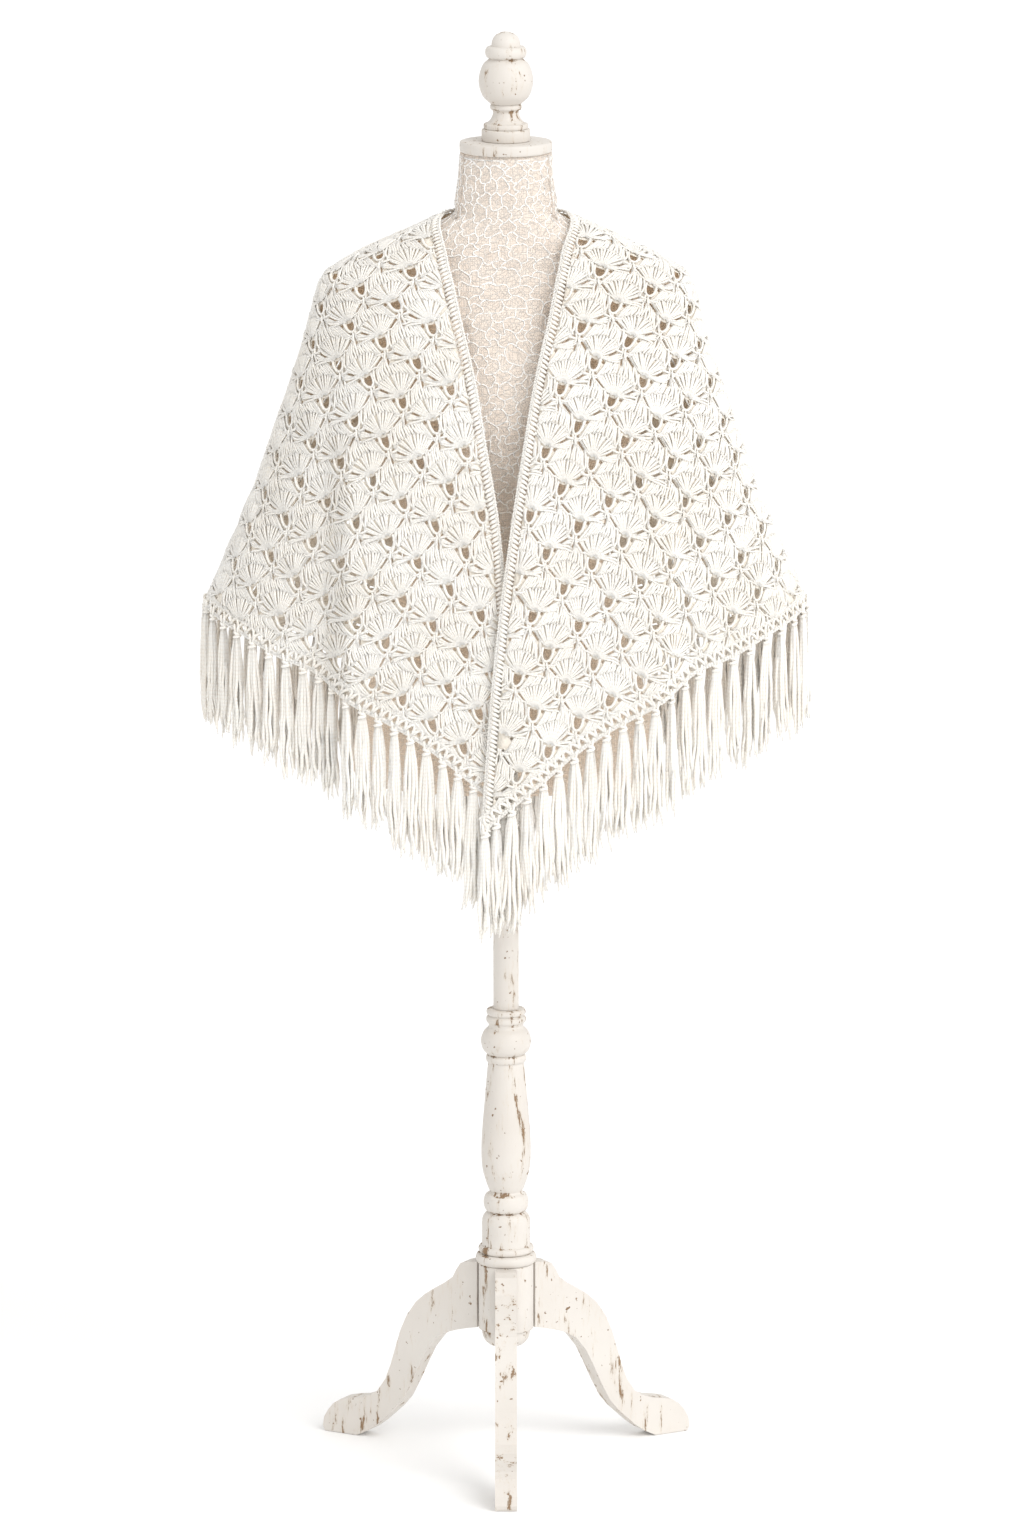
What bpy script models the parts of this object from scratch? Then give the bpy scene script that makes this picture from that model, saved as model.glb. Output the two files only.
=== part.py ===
"""Lace shawl on a dress form: its pieces as solids, in metres, +Z up, with -Y as the front.

The origin is on the floor under the middle of the whole object. Left and right are the viewer's.
The shawl is four crochet panels, joined along shoulder and side and at the centre back. A point of a
panel is given by its place in the flat cut: out is the distance from the middle, and down is the
distance from the neck line. One function hangs that flat cut on the form.
"""
import math

import bmesh
import bpy
import numpy as np
from mathutils import Vector
from mathutils.geometry import delaunay_2d_cdt

# Whole object
AXIS_Y = 0.0351
SEAM = 0.0003

# Cloth
NECK_HEIGHT = 1.397
WALL = 0.0025
FAN_RAISE = 0.0035
DROP_EASE = 0.052
DROP_LENGTH = 0.072
SIDE_EASE = 0.28
SIDE_FROM = 0.080
SIDE_TO = 0.260
FOLD_DEPTH = 0.030
FOLD_INNER = 0.165
FOLD_OUTER = 0.195
FOLD_TOP = 1.300
FOLD_FULL = 0.980
LAP_DEPTH = 0.010
LAP_INNER = 0.022
LAP_OUTER = 0.070
LAP_TOP = 1.110
LAP_FULL = 1.060
RIDGE_RUN = 0.133
HEM_RUN = 0.050
NECK_OUTS = (0.048, 0.026, 0.0)

# How finely lines and surfaces are sampled
OUTLINE_STEP = 0.024
SURFACE_STEP = 0.0005
LINE_SAMPLES = 80
CREASE_POINTS = 17
ARC_SAMPLES = 400
SAME_PLACE = 0.000001
MERGE = 0.00001

# Shell stitch, as steps in the flat cut: a row runs along, the next one lies across
FIRST_HOLE = (0.0764, 0.4750)
STEP_IN = (-0.0325, 0.0272)
STEP_OUT = (0.0169, 0.0395)
HOLE_LONG = 0.0062
HOLE_WIDE = 0.0043
CREST_LOW = 0.36
CREST_HIGH = 0.62
EDGE_CLEAR = 0.0045
LATTICE_REACH = 24

# Edge band and fringe
BAND_WIDTH = 0.010
BAND_RAISE = 0.0020
STRIP_WIDTH = 0.004
TASSEL_PITCH = 0.0215
STRAND_LENGTH = 0.128
STRAND_ROOT = 0.0030
STRAND_HALF = 0.0034
STRAND_DEPTH = 0.0024
ROOT_DEPTH = 0.0007
BELLY_SHARE = 0.58
STRAND_SWAY = 0.0012
SWAY_TURN = 1.7
STRAND_UNEVEN = ((0.05, 2.4, 0.0), (0.04, 5.1, 1.0))
SHORT_STEP = 0.7

# Stand
TURN_SEGMENTS = 16
LEG_THICK = 0.024
LEG_TURNS = (-90.0, 30.0, 150.0)
LEG_INNER = 0.0307
LEG_CURVE_STEPS = 2
FORM_SEGMENTS = 28
SMOOTH_ANGLE = 50


def table(columns, rows):
    """A table with named columns."""
    return dict(zip(columns.split(), np.array(rows, dtype=float).T))


CLOTH = table("height half_width cut_width front_depth back_depth", (
    (1.397, 0.066, 0.066, 0.056, 0.060),
    (1.366, 0.132, 0.132, 0.068, 0.074),
    (1.346, 0.175, 0.175, 0.076, 0.081),
    (1.334, 0.194, 0.197, 0.080, 0.084),
    (1.320, 0.202, 0.206, 0.088, 0.090),
    (1.298, 0.208, 0.217, 0.099, 0.097),
    (1.250, 0.220, 0.240, 0.118, 0.104),
    (1.180, 0.244, 0.273, 0.132, 0.110),
    (1.100, 0.271, 0.311, 0.140, 0.120),
    (0.966, 0.328, 0.375, 0.150, 0.138),
    (0.850, 0.372, 0.431, 0.158, 0.150),
    (0.740, 0.412, 0.483, 0.165, 0.160),
))
FRONT_EDGE = table("down right_out left_out", (
    (0.000, 0.066, 0.066),
    (0.060, 0.052, 0.056),
    (0.150, 0.041, 0.043),
    (0.220, 0.028, 0.030),
    (0.280, 0.019, 0.021),
    (0.360, 0.007, 0.008),
    (0.403, 0.001, 0.003),
    (0.446, -0.005, 0.000),
    (0.540, -0.015, -0.006),
    (0.630, -0.022, -0.012),
    (0.705, -0.027, -0.015),
))
HEM = table("out down", (
    (-0.030, 0.702),
    (0.000, 0.677),
    (0.067, 0.622),
    (0.160, 0.552),
    (0.210, 0.503),
    (0.285, 0.466),
    (0.375, 0.431),
))
FORM = table("height half_width front_depth back_depth", (
    (1.4657, 0.0495, 0.0460, 0.0480),
    (1.4400, 0.0510, 0.0460, 0.0490),
    (1.4130, 0.0550, 0.0470, 0.0510),
    (1.3950, 0.0610, 0.0490, 0.0530),
    (1.3660, 0.1285, 0.0530, 0.0590),
    (1.3460, 0.1705, 0.0560, 0.0620),
    (1.3340, 0.1885, 0.0600, 0.0650),
    (1.3200, 0.1940, 0.0650, 0.0690),
    (1.2980, 0.1920, 0.0750, 0.0750),
    (1.2700, 0.1840, 0.0870, 0.0820),
    (1.2300, 0.1700, 0.1020, 0.0900),
    (1.1800, 0.1520, 0.1130, 0.0940),
    (1.1000, 0.1300, 0.1050, 0.0880),
    (1.0000, 0.1120, 0.0850, 0.0800),
    (0.9200, 0.1340, 0.0950, 0.0980),
    (0.8500, 0.1600, 0.1100, 0.1150),
    (0.7900, 0.1690, 0.1130, 0.1190),
    (0.7730, 0.1650, 0.1100, 0.1160),
))
FINIAL = table("height radius", (
    (1.5970, 0.0000),
    (1.5955, 0.0080),
    (1.5900, 0.0135),
    (1.5815, 0.0160),
    (1.5800, 0.0215),
    (1.5745, 0.0227),
    (1.5690, 0.0215),
    (1.5670, 0.0180),
    (1.5600, 0.0255),
    (1.5440, 0.0297),
    (1.5280, 0.0255),
    (1.5180, 0.0160),
    (1.5120, 0.0165),
    (1.5080, 0.0143),
    (1.4980, 0.0208),
    (1.4950, 0.0242),
    (1.4915, 0.0242),
    (1.4900, 0.0265),
    (1.4783, 0.0265),
    (1.4783, 0.0000),
))
CAP = table("height radius", (
    (1.4780, 0.0000),
    (1.4780, 0.0490),
    (1.4760, 0.0504),
    (1.4680, 0.0504),
    (1.4660, 0.0492),
    (1.4660, 0.0000),
))
POLE = table("height radius", (
    (0.7727, 0.0000),
    (0.7727, 0.0140),
    (0.5123, 0.0140),
    (0.5123, 0.0000),
))
COLUMN = table("height radius", (
    (0.5120, 0.0000),
    (0.5120, 0.0205),
    (0.5085, 0.0217),
    (0.5040, 0.0200),
    (0.4995, 0.0219),
    (0.4955, 0.0205),
    (0.4920, 0.0195),
    (0.4870, 0.0240),
    (0.4760, 0.0278),
    (0.4650, 0.0250),
    (0.4600, 0.0205),
    (0.4560, 0.0222),
    (0.4510, 0.0200),
    (0.4100, 0.0235),
    (0.3740, 0.0265),
    (0.3500, 0.0274),
    (0.3300, 0.0265),
    (0.3120, 0.0215),
    (0.3040, 0.0180),
    (0.2980, 0.0235),
    (0.2915, 0.0250),
    (0.2850, 0.0235),
    (0.2810, 0.0205),
    (0.2770, 0.0245),
    (0.2700, 0.0268),
    (0.2440, 0.0268),
    (0.2405, 0.0300),
    (0.2370, 0.0295),
    (0.2335, 0.0330),
    (0.2290, 0.0338),
    (0.2240, 0.0325),
    (0.2223, 0.0295),
    (0.2223, 0.0000),
))
HUB = table("height radius", (
    (0.2220, 0.0000),
    (0.2220, 0.0304),
    (0.1470, 0.0304),
    (0.1470, 0.0268),
    (0.1330, 0.0235),
    (0.1270, 0.0125),
    (0.1270, 0.0000),
))
LEG = table("radius height corner", (
    (LEG_INNER, 0.221, 1),
    (0.052, 0.217, 0),
    (0.062, 0.200, 0),
    (0.084, 0.185, 0),
    (0.110, 0.165, 0),
    (0.130, 0.130, 0),
    (0.143, 0.088, 0),
    (0.160, 0.056, 0),
    (0.184, 0.044, 0),
    (0.209, 0.039, 0),
    (0.225, 0.025, 0),
    (0.232, 0.006, 0),
    (0.229, 0.000, 1),
    (0.188, 0.000, 1),
    (0.172, 0.008, 0),
    (0.150, 0.026, 0),
    (0.128, 0.049, 0),
    (0.107, 0.091, 0),
    (0.084, 0.127, 0),
    (0.056, 0.140, 0),
    (LEG_INNER, 0.146, 1),
))

# An arc across the half ring: half rings are near ellipses, and this is their length by angle
ARC_ANGLE = np.linspace(-1.2, 2.6, ARC_SAMPLES)
ARC_BULGE = 0.1753
ARC_SHARE = (ARC_ANGLE + ARC_BULGE * np.sin(2 * ARC_ANGLE)) / (math.pi / 2)


def ease(start, end, value):
    """0 at start, 1 at end, smooth between."""
    share = np.clip((value - start) / (end - start), 0, 1)
    return share * share * (3 - 2 * share)


def at_height(rings, column, height):
    return np.interp(-height, -rings["height"], rings[column])


def crease_down(out):
    """The shoulder and side line in the flat cut."""
    return NECK_HEIGHT - np.interp(out, CLOTH["cut_width"], CLOTH["height"])


def hem_down(out):
    return np.interp(out, HEM["out"], HEM["down"])


def hang(out, down, front, lap):
    """Hang flat points on the form, on the +X half, as an array of points."""
    crease_height = np.interp(out, CLOTH["cut_width"], CLOTH["height"])
    below = down - (NECK_HEIGHT - crease_height)
    side = 1 - (1 - SIDE_EASE) * ease(SIDE_FROM, SIDE_TO, out)
    height = crease_height - below + DROP_EASE * side * (1 - np.exp(-below / DROP_LENGTH))
    angle = np.interp(out / at_height(CLOTH, "cut_width", height), ARC_SHARE, ARC_ANGLE)
    x = at_height(CLOTH, "half_width", height) * np.sin(angle)
    depth = at_height(CLOTH, "front_depth" if front else "back_depth", height) * np.cos(angle)
    if front:
        fold = ease(FOLD_TOP, FOLD_FULL, height) * (1 - ease(FOLD_INNER, FOLD_OUTER, x))
        depth = depth + FOLD_DEPTH * fold
        if lap:
            over = ease(LAP_TOP, LAP_FULL, height) * (1 - ease(LAP_INNER, LAP_OUTER, x))
            depth = depth + LAP_DEPTH * over
    return np.stack([x, -depth if front else depth, height], axis=-1)


class Panel:
    """One of the four crochet panels: which half it hangs on, and how to place its points."""

    def __init__(self, name, side, front):
        self.name = name
        self.side = side
        self.front = front
        self.lap = front and side > 0

    def place(self, flat, lift):
        """World points of flat points, moved out of the cloth by lift."""
        flat = np.asarray(flat, dtype=float)
        out, down = flat[:, 0], flat[:, 1]

        def at(shift_out, shift_down):
            return hang(out + shift_out, down + shift_down, self.front, self.lap)

        along = at(SURFACE_STEP, 0) - at(-SURFACE_STEP, 0)
        fall = at(0, SURFACE_STEP) - at(0, -SURFACE_STEP)
        normal = np.cross(along, fall) * (-1 if self.front else 1)
        on_crease = np.abs(down - crease_down(out)) < SAME_PLACE
        on_middle = (np.abs(out) < SAME_PLACE) & (not self.front)
        normal[on_crease, 1] = 0
        normal[on_middle, 0] = 0
        normal /= np.linalg.norm(normal, axis=1)[:, None]
        points = at(0, 0) + normal * np.reshape(lift, (-1, 1))
        points[:, 1] += -SEAM / 2 if self.front else SEAM / 2
        if not self.front:
            points[:, 0] += SEAM / 2
        points[:, 0] *= self.side
        return points


PANELS = [
    Panel("shawl_front_left", -1, True),
    Panel("shawl_front_right", 1, True),
    Panel("shawl_back_left", -1, False),
    Panel("shawl_back_right", 1, False),
]


def evenly(line, step):
    """Points at even steps along a flat line, both ends kept."""
    line = np.asarray(line, dtype=float)
    lengths = np.concatenate([[0], np.cumsum(np.linalg.norm(np.diff(line, axis=0), axis=1))])
    count = max(2, int(round(lengths[-1] / step)) + 1)
    places = np.linspace(0, lengths[-1], count)
    return np.stack([np.interp(places, lengths, line[:, k]) for k in (0, 1)], axis=1)


def side_of(line):
    """Unit vectors to the +out side of a flat line that runs down."""
    run = np.gradient(line, axis=0)
    run /= np.linalg.norm(run, axis=1)[:, None]
    return np.stack([run[:, 1], -run[:, 0]], axis=1)


def front_edge(panel):
    """The free front edge, neck to hem, with the direction into the panel at each point."""
    column = "right_out" if panel.side > 0 else "left_out"
    last = FRONT_EDGE[column][-1]
    downs = np.linspace(0, hem_down(last), LINE_SAMPLES)
    line = evenly(np.stack([np.interp(downs, FRONT_EDGE["down"], FRONT_EDGE[column]), downs], axis=1),
                  OUTLINE_STEP)
    inward = side_of(line)
    ridge = np.array([RIDGE_RUN, crease_down(line[0, 0] + RIDGE_RUN)])
    inward[0] = ridge / np.linalg.norm(ridge)
    end = line[-1]
    along_hem = np.array([HEM_RUN, hem_down(end[0] + HEM_RUN) - end[1]])
    inward[-1] = along_hem / np.linalg.norm(along_hem)
    return line, inward


def neck_edge():
    """The back neck edge, shoulder to centre back, with the direction into the panel."""
    line = np.array([(out, 0.0) for out in NECK_OUTS])
    return line, np.tile([0.0, 1.0], (len(line), 1))


def panel_lines(panel):
    """The four edges of a panel in the flat cut: inner edge, hem, crease and, at the back, middle."""
    inset = BAND_WIDTH + SEAM
    edge, inward = front_edge(panel)
    edge = edge + inset * inward
    crease_outs = np.linspace(edge[0, 0], HEM["out"][-1], CREASE_POINTS)
    crease = np.stack([crease_outs, crease_down(crease_outs)], axis=1)
    if panel.front:
        hem_start = edge[-1]
        hem_outs = np.linspace(hem_start[0], HEM["out"][-1], LINE_SAMPLES)
        hem_line = np.stack([hem_outs, hem_down(hem_outs)], axis=1)
        hem_line[0] = hem_start
        hem = evenly(hem_line, TASSEL_PITCH)
        hem[-1] = crease[-1]
        return edge, hem, crease, None
    neck, neck_in = neck_edge()
    neck = np.concatenate([edge[:1], neck + inset * neck_in])
    hem_outs = np.linspace(0, HEM["out"][-1], LINE_SAMPLES)
    hem = evenly(np.stack([hem_outs, hem_down(hem_outs)], axis=1), TASSEL_PITCH)
    hem[-1] = crease[-1]
    middle = evenly([neck[-1], hem[0]], OUTLINE_STEP)
    return neck, hem, crease, middle


def panel_outline(panel):
    edge, hem, crease, middle = panel_lines(panel)
    if panel.front:
        return np.concatenate([edge, hem[1:], crease[-2:0:-1]])
    return np.concatenate([edge, middle[1:], hem[1:], crease[-2:0:-1]])


def inside(polygon, points):
    """Which flat points lie in a flat polygon."""
    x, y = points[:, 0], points[:, 1]
    found = np.zeros(len(points), dtype=bool)
    for (ax, ay), (bx, by) in zip(polygon, np.roll(polygon, -1, axis=0)):
        crosses = (ay > y) != (by > y)
        with np.errstate(divide="ignore", invalid="ignore"):
            found ^= crosses & (x < (bx - ax) * (y - ay) / (by - ay) + ax)
    return found


def clearance(polygon, point):
    """The distance from a flat point to a polygon's nearest side."""
    ends = np.roll(polygon, -1, axis=0)
    run = ends - polygon
    share = np.clip(((point - polygon) * run).sum(1) / (run * run).sum(1), 0, 1)
    return np.linalg.norm(polygon + run * share[:, None] - point, axis=1).min()


def stitch_cells(outline):
    """Holes and fan crests of the shell stitch that fit in a panel's outline."""
    step_in, step_out = np.array(STEP_IN), np.array(STEP_OUT)
    fan = step_in + step_out
    fan_dir = fan / np.linalg.norm(fan)
    across = np.array([fan_dir[1], -fan_dir[0]])
    holes, crests = [], []
    reach = range(-LATTICE_REACH, LATTICE_REACH + 1)
    for i in reach:
        for j in reach:
            centre = np.array(FIRST_HOLE) + i * step_in + j * step_out
            kite = np.array([centre - HOLE_LONG * fan_dir, centre + HOLE_WIDE * across,
                             centre + HOLE_LONG * fan_dir, centre - HOLE_WIDE * across])
            if inside(outline, kite).all() and min(clearance(outline, p) for p in kite) > EDGE_CLEAR:
                holes.append(kite)
            for share in (CREST_LOW, CREST_HIGH):
                crest = centre - share * fan
                if inside(outline, crest[None])[0] and clearance(outline, crest) > EDGE_CLEAR:
                    crests.append(crest)
    return holes, crests


def wall_faces(flat, edges, outline, holes):
    """Triangles of a flat panel with its holes left out."""
    points, _, faces, _, _, _ = delaunay_2d_cdt([Vector(p) for p in flat], edges, [], 0, SAME_PLACE)
    points = np.array([tuple(p) for p in points])
    faces = np.array(faces)
    middles = points[faces].mean(1)
    keep = inside(outline, middles)
    for hole in holes:
        near = np.linalg.norm(middles - hole.mean(0), axis=1) < 2 * HOLE_LONG
        keep[near] &= ~inside(hole, middles[near])
    return points, faces[keep]


def add_object(name, bm, material, smooth_angle=None):
    """A named object from a bmesh, its faces turned out."""
    bmesh.ops.recalc_face_normals(bm, faces=bm.faces)
    mesh = bpy.data.meshes.new(name)
    bm.to_mesh(mesh)
    bm.free()
    if smooth_angle is not None:
        mesh.shade_smooth()
        mesh.set_sharp_from_angle(angle=math.radians(smooth_angle))
    return link(name, mesh, material)


def link(name, data, material):
    obj = bpy.data.objects.new(name, data)
    obj.data.materials.append(material)
    obj.parent = stand_axis
    collection.objects.link(obj)
    return obj


def new_faces(bm, verts, faces):
    for face in faces:
        bm.faces.new([verts[k] for k in face])


def build_panel(panel, material):
    """One crochet panel: a wall with its holes cut through and its fans raised on the outside."""
    outline = panel_outline(panel)
    holes, crests = stitch_cells(outline)
    flat = list(outline)
    count = len(outline)
    edges = [(k, (k + 1) % count) for k in range(count)]
    for hole in holes:
        first = len(flat)
        flat.extend(hole)
        edges.extend((first + k, first + (k + 1) % 4) for k in range(4))
    crest_from = len(flat)
    flat.extend(crests)
    points, faces = wall_faces(flat, edges, outline, holes)
    lift = np.full(len(points), WALL)
    lift[crest_from:] += FAN_RAISE
    inner = panel.place(points, 0.0)
    outer = panel.place(points, lift)
    bm = bmesh.new()
    inner_verts = [bm.verts.new(p) for p in inner]
    outer_verts = [bm.verts.new(p) for p in outer]
    new_faces(bm, outer_verts, faces)
    new_faces(bm, inner_verts, faces[:, ::-1])
    sides = {}
    for face in faces:
        for a, b in zip(face, np.roll(face, -1)):
            sides[(a, b)] = True
    for a, b in list(sides):
        if (b, a) not in sides:
            bm.faces.new([outer_verts[b], outer_verts[a], inner_verts[a], inner_verts[b]])
    bmesh.ops.triangulate(bm, faces=[f for f in bm.faces if len(f.verts) > 3])
    return add_object(panel.name, bm, material, SMOOTH_ANGLE)


def build_band(name, panel, back_panel, material):
    """The braided edge: up one front, over the shoulder and round the back of the neck."""
    front_line, front_in = front_edge(panel)
    back_line, back_in = neck_edge()
    lifts = (0.0, WALL, WALL + BAND_RAISE, WALL, 0.0)
    shares = (0.0, 0.0, 0.5, 1.0, 1.0)
    sections = []
    for owner, line, inward in ((panel, front_line[::-1], front_in[::-1]), (back_panel, back_line, back_in)):
        columns = [owner.place(line + share * BAND_WIDTH * inward, np.full(len(line), lift))
                   for lift, share in zip(lifts, shares)]
        sections.extend(np.stack(columns, axis=1))
    bm = bmesh.new()
    rings = [[bm.verts.new(p) for p in section] for section in sections]
    size = len(lifts)
    for low, high in zip(rings, rings[1:]):
        for k in range(size):
            bm.faces.new([low[k], low[(k + 1) % size], high[(k + 1) % size], high[k]])
    bm.faces.new(rings[0])
    bm.faces.new(rings[-1][::-1])
    bmesh.ops.triangulate(bm, faces=bm.faces)
    return add_object(name, bm, material, SMOOTH_ANGLE)


def fringe_line(panel):
    """The hem with the free edge's end added, and the way down the cloth at each point."""
    edge, hem, crease, middle = panel_lines(panel)
    if panel.front:
        end, _ = front_edge(panel)
        hem = np.concatenate([end[-1:], hem])
        first_way = end[-1] - end[-2]
    else:
        first_way = np.array([0.0, 1.0])
    way = -side_of(hem)
    way[0] = first_way / np.linalg.norm(first_way)
    crease_way = crease[-1] - crease[-2]
    way[-1] = crease_way / np.linalg.norm(crease_way)
    return hem, way


def strand_length(number):
    """Uneven lengths, the same on every run."""
    uneven = sum(size * math.sin(turn * number + start) for size, turn, start in STRAND_UNEVEN)
    return STRAND_LENGTH * (1 + uneven)


def add_strand(bm, corners, places, number):
    """A three-sided strand that hangs from one length of the strip's underside."""
    outer_a, outer_b, inner_b, inner_a = places
    middle = (outer_a + outer_b + inner_a + inner_b) / 4
    along = outer_b + inner_b - outer_a - inner_a
    along = along / np.linalg.norm(along)
    away = outer_a + outer_b - inner_a - inner_b
    away = away / np.linalg.norm(away)
    level = np.array([along[0], along[1], 0.0])
    level = level / np.linalg.norm(level)
    proud = np.array([away[0], away[1], 0.0])
    proud = proud / np.linalg.norm(proud)
    length = strand_length(number)
    sway = STRAND_SWAY * math.sin(SWAY_TURN * number) * level
    root = [middle - STRAND_ROOT * along - ROOT_DEPTH * away, middle + STRAND_ROOT * along - ROOT_DEPTH * away,
            middle + ROOT_DEPTH * away]
    belly = middle + sway - np.array([0.0, 0.0, BELLY_SHARE * length])
    belly = [belly - STRAND_HALF * level - STRAND_DEPTH / 2 * proud,
             belly + STRAND_HALF * level - STRAND_DEPTH / 2 * proud, belly + STRAND_DEPTH * proud]
    tip = middle + 2 * sway - np.array([0.0, 0.0, length])
    root = [bm.verts.new(p) for p in root]
    belly = [bm.verts.new(p) for p in belly]
    tip = bm.verts.new(tip)
    outer_a, outer_b, inner_b, inner_a = corners
    for ring in ((inner_a, inner_b, root[1], root[0]), (inner_b, outer_b, root[1]), (outer_b, root[2], root[1]),
                 (outer_a, outer_b, root[2]), (outer_a, root[2], root[0]), (inner_a, root[0], outer_a)):
        bm.faces.new(ring)
    for k in range(3):
        nxt = (k + 1) % 3
        bm.faces.new([root[k], root[nxt], belly[nxt], belly[k]])
        bm.faces.new([belly[k], belly[nxt], tip])


def build_fringe(name, panel, material):
    """Strands that hang from a narrow strip just under the hem."""
    hem, way = fringe_line(panel)
    wall = (0.0, WALL)
    top = [panel.place(hem + SEAM * way, np.full(len(hem), lift)) for lift in wall]
    low = [panel.place(hem + (SEAM + STRIP_WIDTH) * way, np.full(len(hem), lift)) for lift in wall]
    bm = bmesh.new()
    top_verts = [[bm.verts.new(p) for p in line] for line in top]
    low_verts = [[bm.verts.new(p) for p in line] for line in low]
    number = 0
    for k in range(len(hem) - 1):
        split = 1 if np.linalg.norm(hem[k + 1] - hem[k]) < SHORT_STEP * TASSEL_PITCH else 2
        lines = []
        for side in (0, 1):
            shares = np.linspace(0, 1, split + 1)[1:-1]
            between = [bm.verts.new(low[side][k] * (1 - s) + low[side][k + 1] * s) for s in shares]
            lines.append([low_verts[side][k]] + between + [low_verts[side][k + 1]])
        bm.faces.new([top_verts[0][k], top_verts[0][k + 1], top_verts[1][k + 1], top_verts[1][k]])
        for side in (0, 1):
            bm.faces.new([top_verts[side][k]] + lines[side] + [top_verts[side][k + 1]])
        for j in range(split):
            corners = (lines[1][j], lines[1][j + 1], lines[0][j + 1], lines[0][j])
            places = [np.array(v.co) for v in corners]
            add_strand(bm, corners, places, number)
            number += 1
    for k in (0, -1):
        bm.faces.new([top_verts[0][k], top_verts[1][k], low_verts[1][k], low_verts[0][k]])
    bmesh.ops.triangulate(bm, faces=[f for f in bm.faces if len(f.verts) > 3])
    return add_object(name, bm, material)


def build_form(material):
    """The limbless form: rings from the neck's top down to the flat base."""
    bm = bmesh.new()
    rings = []
    for height, half_width, front_depth, back_depth in zip(*FORM.values()):
        ring = []
        for k in range(FORM_SEGMENTS):
            angle = 2 * math.pi * k / FORM_SEGMENTS
            depth = back_depth if math.sin(angle) > 0 else front_depth
            ring.append(bm.verts.new((half_width * math.cos(angle), depth * math.sin(angle), height)))
        rings.append(ring)
    for high, low in zip(rings, rings[1:]):
        for k in range(FORM_SEGMENTS):
            nxt = (k + 1) % FORM_SEGMENTS
            bm.faces.new([high[k], high[nxt], low[nxt], low[k]])
    bm.faces.new(rings[0])
    bm.faces.new(rings[-1][::-1])
    return add_object("form_torso", bm, material, SMOOTH_ANGLE)


def build_turned(name, profile, material):
    """A turned piece: its profile, top to bottom, swept round the stand's axis."""
    bm = bmesh.new()
    verts = [bm.verts.new((radius, 0.0, height)) for height, radius in zip(profile["height"], profile["radius"])]
    for a, b in zip(verts, verts[1:]):
        bm.edges.new((a, b))
    mesh = bpy.data.meshes.new(name)
    bm.to_mesh(mesh)
    bm.free()
    obj = link(name, mesh, material)
    screw = obj.modifiers.new("turning", "SCREW")
    screw.steps = TURN_SEGMENTS
    screw.render_steps = TURN_SEGMENTS
    screw.use_merge_vertices = True
    screw.merge_threshold = MERGE
    screw.use_smooth_shade = True
    return obj


def build_leg(name, turn, material):
    """A flat sawn leg: its side outline, given the board's thickness."""
    curve = bpy.data.curves.new(name, "CURVE")
    curve.dimensions = "2D"
    curve.fill_mode = "BOTH"
    curve.extrude = LEG_THICK / 2
    curve.resolution_u = LEG_CURVE_STEPS
    spline = curve.splines.new("BEZIER")
    spline.use_cyclic_u = True
    spline.bezier_points.add(len(LEG["radius"]) - 1)
    for point, radius, height, corner in zip(spline.bezier_points, *LEG.values()):
        point.co = (radius, height, 0.0)
        handle = "VECTOR" if corner else "AUTO"
        point.handle_left_type = handle
        point.handle_right_type = handle
    obj = link(name, curve, material)
    obj.rotation_euler = (math.radians(90), 0.0, math.radians(turn))
    weld = obj.modifiers.new("caps", "WELD")
    weld.merge_threshold = MERGE
    return obj


def principled(name, color, roughness):
    material = bpy.data.materials.new(name)
    material.use_nodes = True
    shader = material.node_tree.nodes["Principled BSDF"]
    shader.inputs["Base Color"].default_value = (*color, 1.0)
    shader.inputs["Roughness"].default_value = roughness
    shader.inputs["Metallic"].default_value = 0.0
    return material


for old in list(bpy.data.objects):
    bpy.data.objects.remove(old, do_unlink=True)

collection = bpy.data.collections.new("lace_shawl_on_dress_form")
bpy.context.scene.collection.children.link(collection)
stand_axis = bpy.data.objects.new("stand_axis", None)
stand_axis.location = (0.0, AXIS_Y, 0.0)
collection.objects.link(stand_axis)

yarn = principled("ivory_yarn", (0.90, 0.88, 0.83), 0.9)
linen = principled("linen_cover", (0.78, 0.72, 0.64), 0.85)
paint = principled("worn_white_paint", (0.88, 0.86, 0.82), 0.55)

front_left, front_right, back_left, back_right = PANELS
for cloth_panel in PANELS:
    build_panel(cloth_panel, yarn)
build_band("edge_band_left", front_left, back_left, yarn)
build_band("edge_band_right", front_right, back_right, yarn)
for cloth_panel in PANELS:
    build_fringe(cloth_panel.name.replace("shawl", "fringe"), cloth_panel, yarn)
build_form(linen)
build_turned("neck_cap", CAP, paint)
build_turned("finial", FINIAL, paint)
build_turned("pole", POLE, paint)
build_turned("column", COLUMN, paint)
build_turned("hub", HUB, paint)
for leg_name, leg_turn in zip(("leg_front", "leg_right", "leg_left"), LEG_TURNS):
    build_leg(leg_name, leg_turn, paint)
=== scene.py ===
"""Looks of the lace shawl on its dress form, in metres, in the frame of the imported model.

The shawl is crocheted in shells: each shell is a fan of yarn that springs from a hole, under an arc of
short posts, and the next row's holes sit where two arcs meet. The stitches are laid out in the flat
cut of each panel and hung on the form by the same function as the solids. Left and right are the
viewer's. In a panel, out is the distance from the middle and down the distance from the neck line.
"""
import math

import bpy
import numpy as np
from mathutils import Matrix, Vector
from mathutils.geometry import delaunay_2d_cdt


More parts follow.
